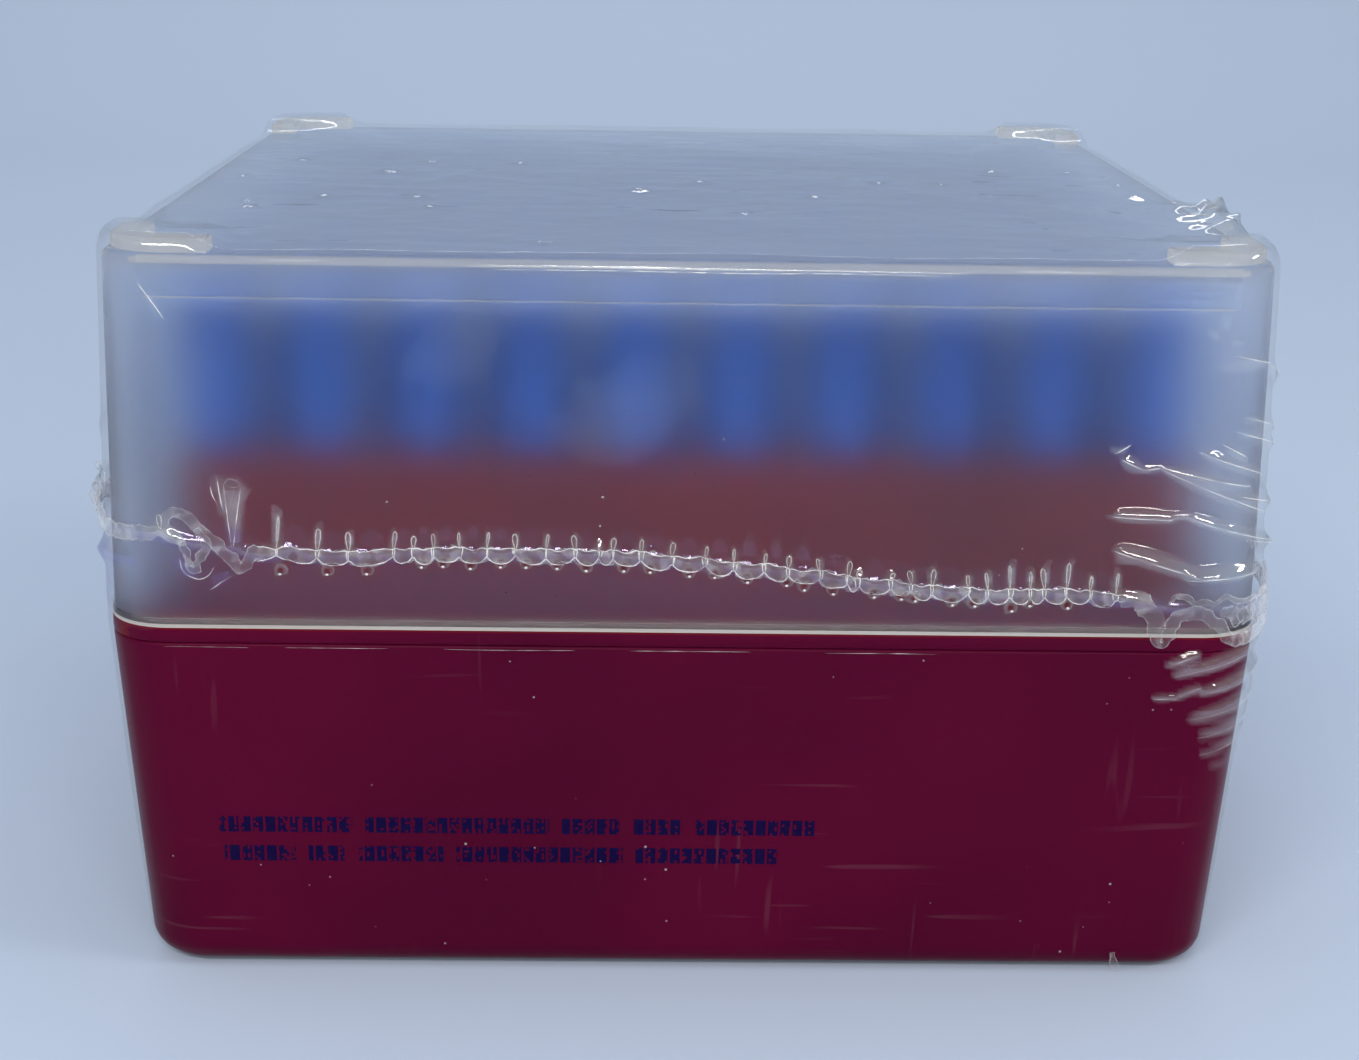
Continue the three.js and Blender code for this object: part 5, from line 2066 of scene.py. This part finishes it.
    def build(self, finishes: Finishes) -> List[Piece]:
        """Makes the bead, its pleats and its scraps."""
        loop, knot = np.array(self.loop), np.array(self.knot)
        whole = 2 * self.form.half_round / MM
        course = np.vstack([
            self.resample(loop)[:-1],
            self.gathered(loop[-1, 0] + 0.2, knot[0, 0] - 0.2),
            self.resample(knot),
            self.gathered(knot[-1, 0] + 0.2, whole + loop[0, 0] - 0.2),
        ])
        bead = Strand(self.form, course, depth=self.bead_depth, closed=True, wobble=0.2)
        pleats = [
            self.pleat(place, height, 14 if abs(place) < 66 else 9)
            for place, height in self.line.pleats()
        ]
        # Each dent gets a whitish drop: a painted glint.
        specks = [self.speck(place, height) for place, height in self.line.dots]
        # The drops, hems and creases are whitish strands: painted glints and highlight lines.
        pieces = [
            skin_strands("weld_bead", [bead], finishes.weld),
            skin_strands("weld_pleats", pleats, finishes.pleats),
            skin_strands("weld_specks", specks, finishes.highlight_strands),
            skin_strands("weld_hems", self.hem_highlights(loop[-1, 0] + 0.6, knot[0, 0]), finishes.highlight_strands),
            skin_strands("film_creases", self.highlight_strands(), finishes.highlight_strands),
        ]
        for number, (name, points) in enumerate(self.scraps):
            strand = Strand(
                self.form, self.resample(np.array(points)), depth=0.55, wobble=0.3,
                seed=60 + number,
            )
            pieces.append(skin_strands(name, [strand], finishes.weld))
        return pieces


# Studio


@dataclass
class Lamp:
    """A strip softbox."""

    name: str  # Its name
    place: Place  # Where it stands
    length: float  # Its level length
    height: float  # Its height
    power: float  # Its power in watts

    def build(self, target: Vector) -> None:
        """Adds the lamp, turned to a target."""
        data = bpy.data.lights.new(self.name, "AREA")
        data.shape, data.energy = "RECTANGLE", self.power
        data.size, data.size_y = self.length, self.height
        lamp = bpy.data.objects.new(self.name, data)
        bpy.context.scene.collection.objects.link(lamp)
        lamp.location = self.place
        lamp.rotation_mode = "QUATERNION"
        lamp.rotation_quaternion = (target - Vector(self.place)).to_track_quat("-Z", "Y")


@dataclass
class Studio:
    """Pale paper, soft light and the camera."""

    # Where the camera stands
    camera_place: Place = (-5.63 * MM, -288.92 * MM, 119.20 * MM)
    camera_down: float = 0.2847  # How far it looks down, in radians
    camera_turn: float = -0.0209  # How far it is turned to the left
    camera_roll: float = 0.0166  # How far it is rolled
    lens: float = 58.71  # Its focal length in millimetres
    sensor: float = 36.0  # Its sensor's width in millimetres
    paper_front: float = 3.0  # Half the paper's width, and how far it reaches to the front
    paper_back: float = 1.3  # How far back it curves up
    paper_bend: float = 0.6  # The radius of that curve
    wall_height: float = 2.2  # How high it rises
    light: Colour = (0.83, 0.91, 1.0, 1.0)  # The surroundings' colour
    light_level: float = 0.52  # Their strength
    lamps: Tuple[Lamp, ...] = (
        Lamp("key_strip", (-0.25, -0.80, 0.66), 0.55, 0.07, 3.4),
        Lamp("low_strip", (0.20, -0.95, 0.42), 0.50, 0.05, 1.9),
        Lamp("side_strip", (0.85, -0.30, 0.50), 0.30, 0.06, 1.6),
        Lamp("back_strip", (0.0, 0.95, 0.62), 0.80, 0.04, 0.9),
    )
    aim: Place = (0.0, 0.0, 0.045)  # Where the lamps point

    def build(self) -> None:
        """Adds paper, lamps, world and camera."""
        self.add_paper()
        for lamp in self.lamps:
            lamp.build(Vector(self.aim))
        self.add_world()
        self.add_camera()

    def add_paper(self) -> None:
        """A wide sheet that curves up behind."""
        rest_selection()
        bpy.ops.mesh.primitive_plane_add(size=2 * self.paper_front)
        model = Model("paper_sweep")
        shift, close = self.paper_back - self.paper_front, 0.01
        model.pick(Pick.EDGES, lambda at, along: at.y > self.paper_front - close)
        bpy.ops.transform.translate(value=(0, shift, 0))
        model.pick(Pick.EDGES, lambda at, along: at.y > self.paper_back - close)
        model.extrude(self.wall_height)
        model.pick(
            Pick.EDGES, lambda at, along: at.y > self.paper_back - close and abs(at.z) < close
        )
        model.bevel(self.paper_bend, 24)
        sheet = model.finish(weigh=False)
        dress(sheet, StudioPaper().build())

    def add_world(self) -> None:
        """Even pale surroundings."""
        world = bpy.data.worlds.new("studio")
        world.use_nodes = True
        world.node_tree.nodes.clear()
        w = Wiring(world.node_tree)
        light = w.node("Background", {"Color": self.light, "Strength": self.light_level})
        w.show(light, "OutputWorld")
        bpy.context.scene.world = world

    def add_camera(self) -> None:
        """The camera in front of the box, looking a little down."""
        data = bpy.data.cameras.new("camera")
        data.lens, data.sensor_width, data.clip_start = self.lens, self.sensor, 0.01
        camera = bpy.data.objects.new("camera", data)
        bpy.context.scene.collection.objects.link(camera)
        turn = Matrix.Rotation(self.camera_turn, 4, "Z")
        tilt = Matrix.Rotation(math.pi / 2 - self.camera_down, 4, "X")
        roll = Matrix.Rotation(self.camera_roll, 4, "Z")
        camera.matrix_world = Matrix.Translation(self.camera_place) @ turn @ tilt @ roll
        bpy.context.scene.camera = camera


def main() -> None:
    """Builds the scene in order."""
    logging.basicConfig(level=logging.INFO, format="%(name)s: %(message)s")
    bpy.context.scene.view_settings.view_transform = "Standard"
    for bounces, most in BOUNCES.items():
        setattr(bpy.context.scene.cycles, bounces, most)
    Studio().build()
    sizes = PackSizes.measure()
    finishes = Finishes()
    finishes.build()
    form = FilmForm()
    line = WeldLine(form)
    film = Film(form, line)
    for part in (Tray(sizes), Rack(sizes), Tips(sizes), Lid(sizes), film,
                 Weld(form, line, film)):
        made = part.build(finishes)
        pieces = made if isinstance(made, list) else [made]
        faces = sum(len(piece.data.polygons) for piece in pieces)
        LOG.info("%s: %d pieces, %d faces", type(part).__name__, len(pieces), faces)


if __name__ == "__main__":
    main()
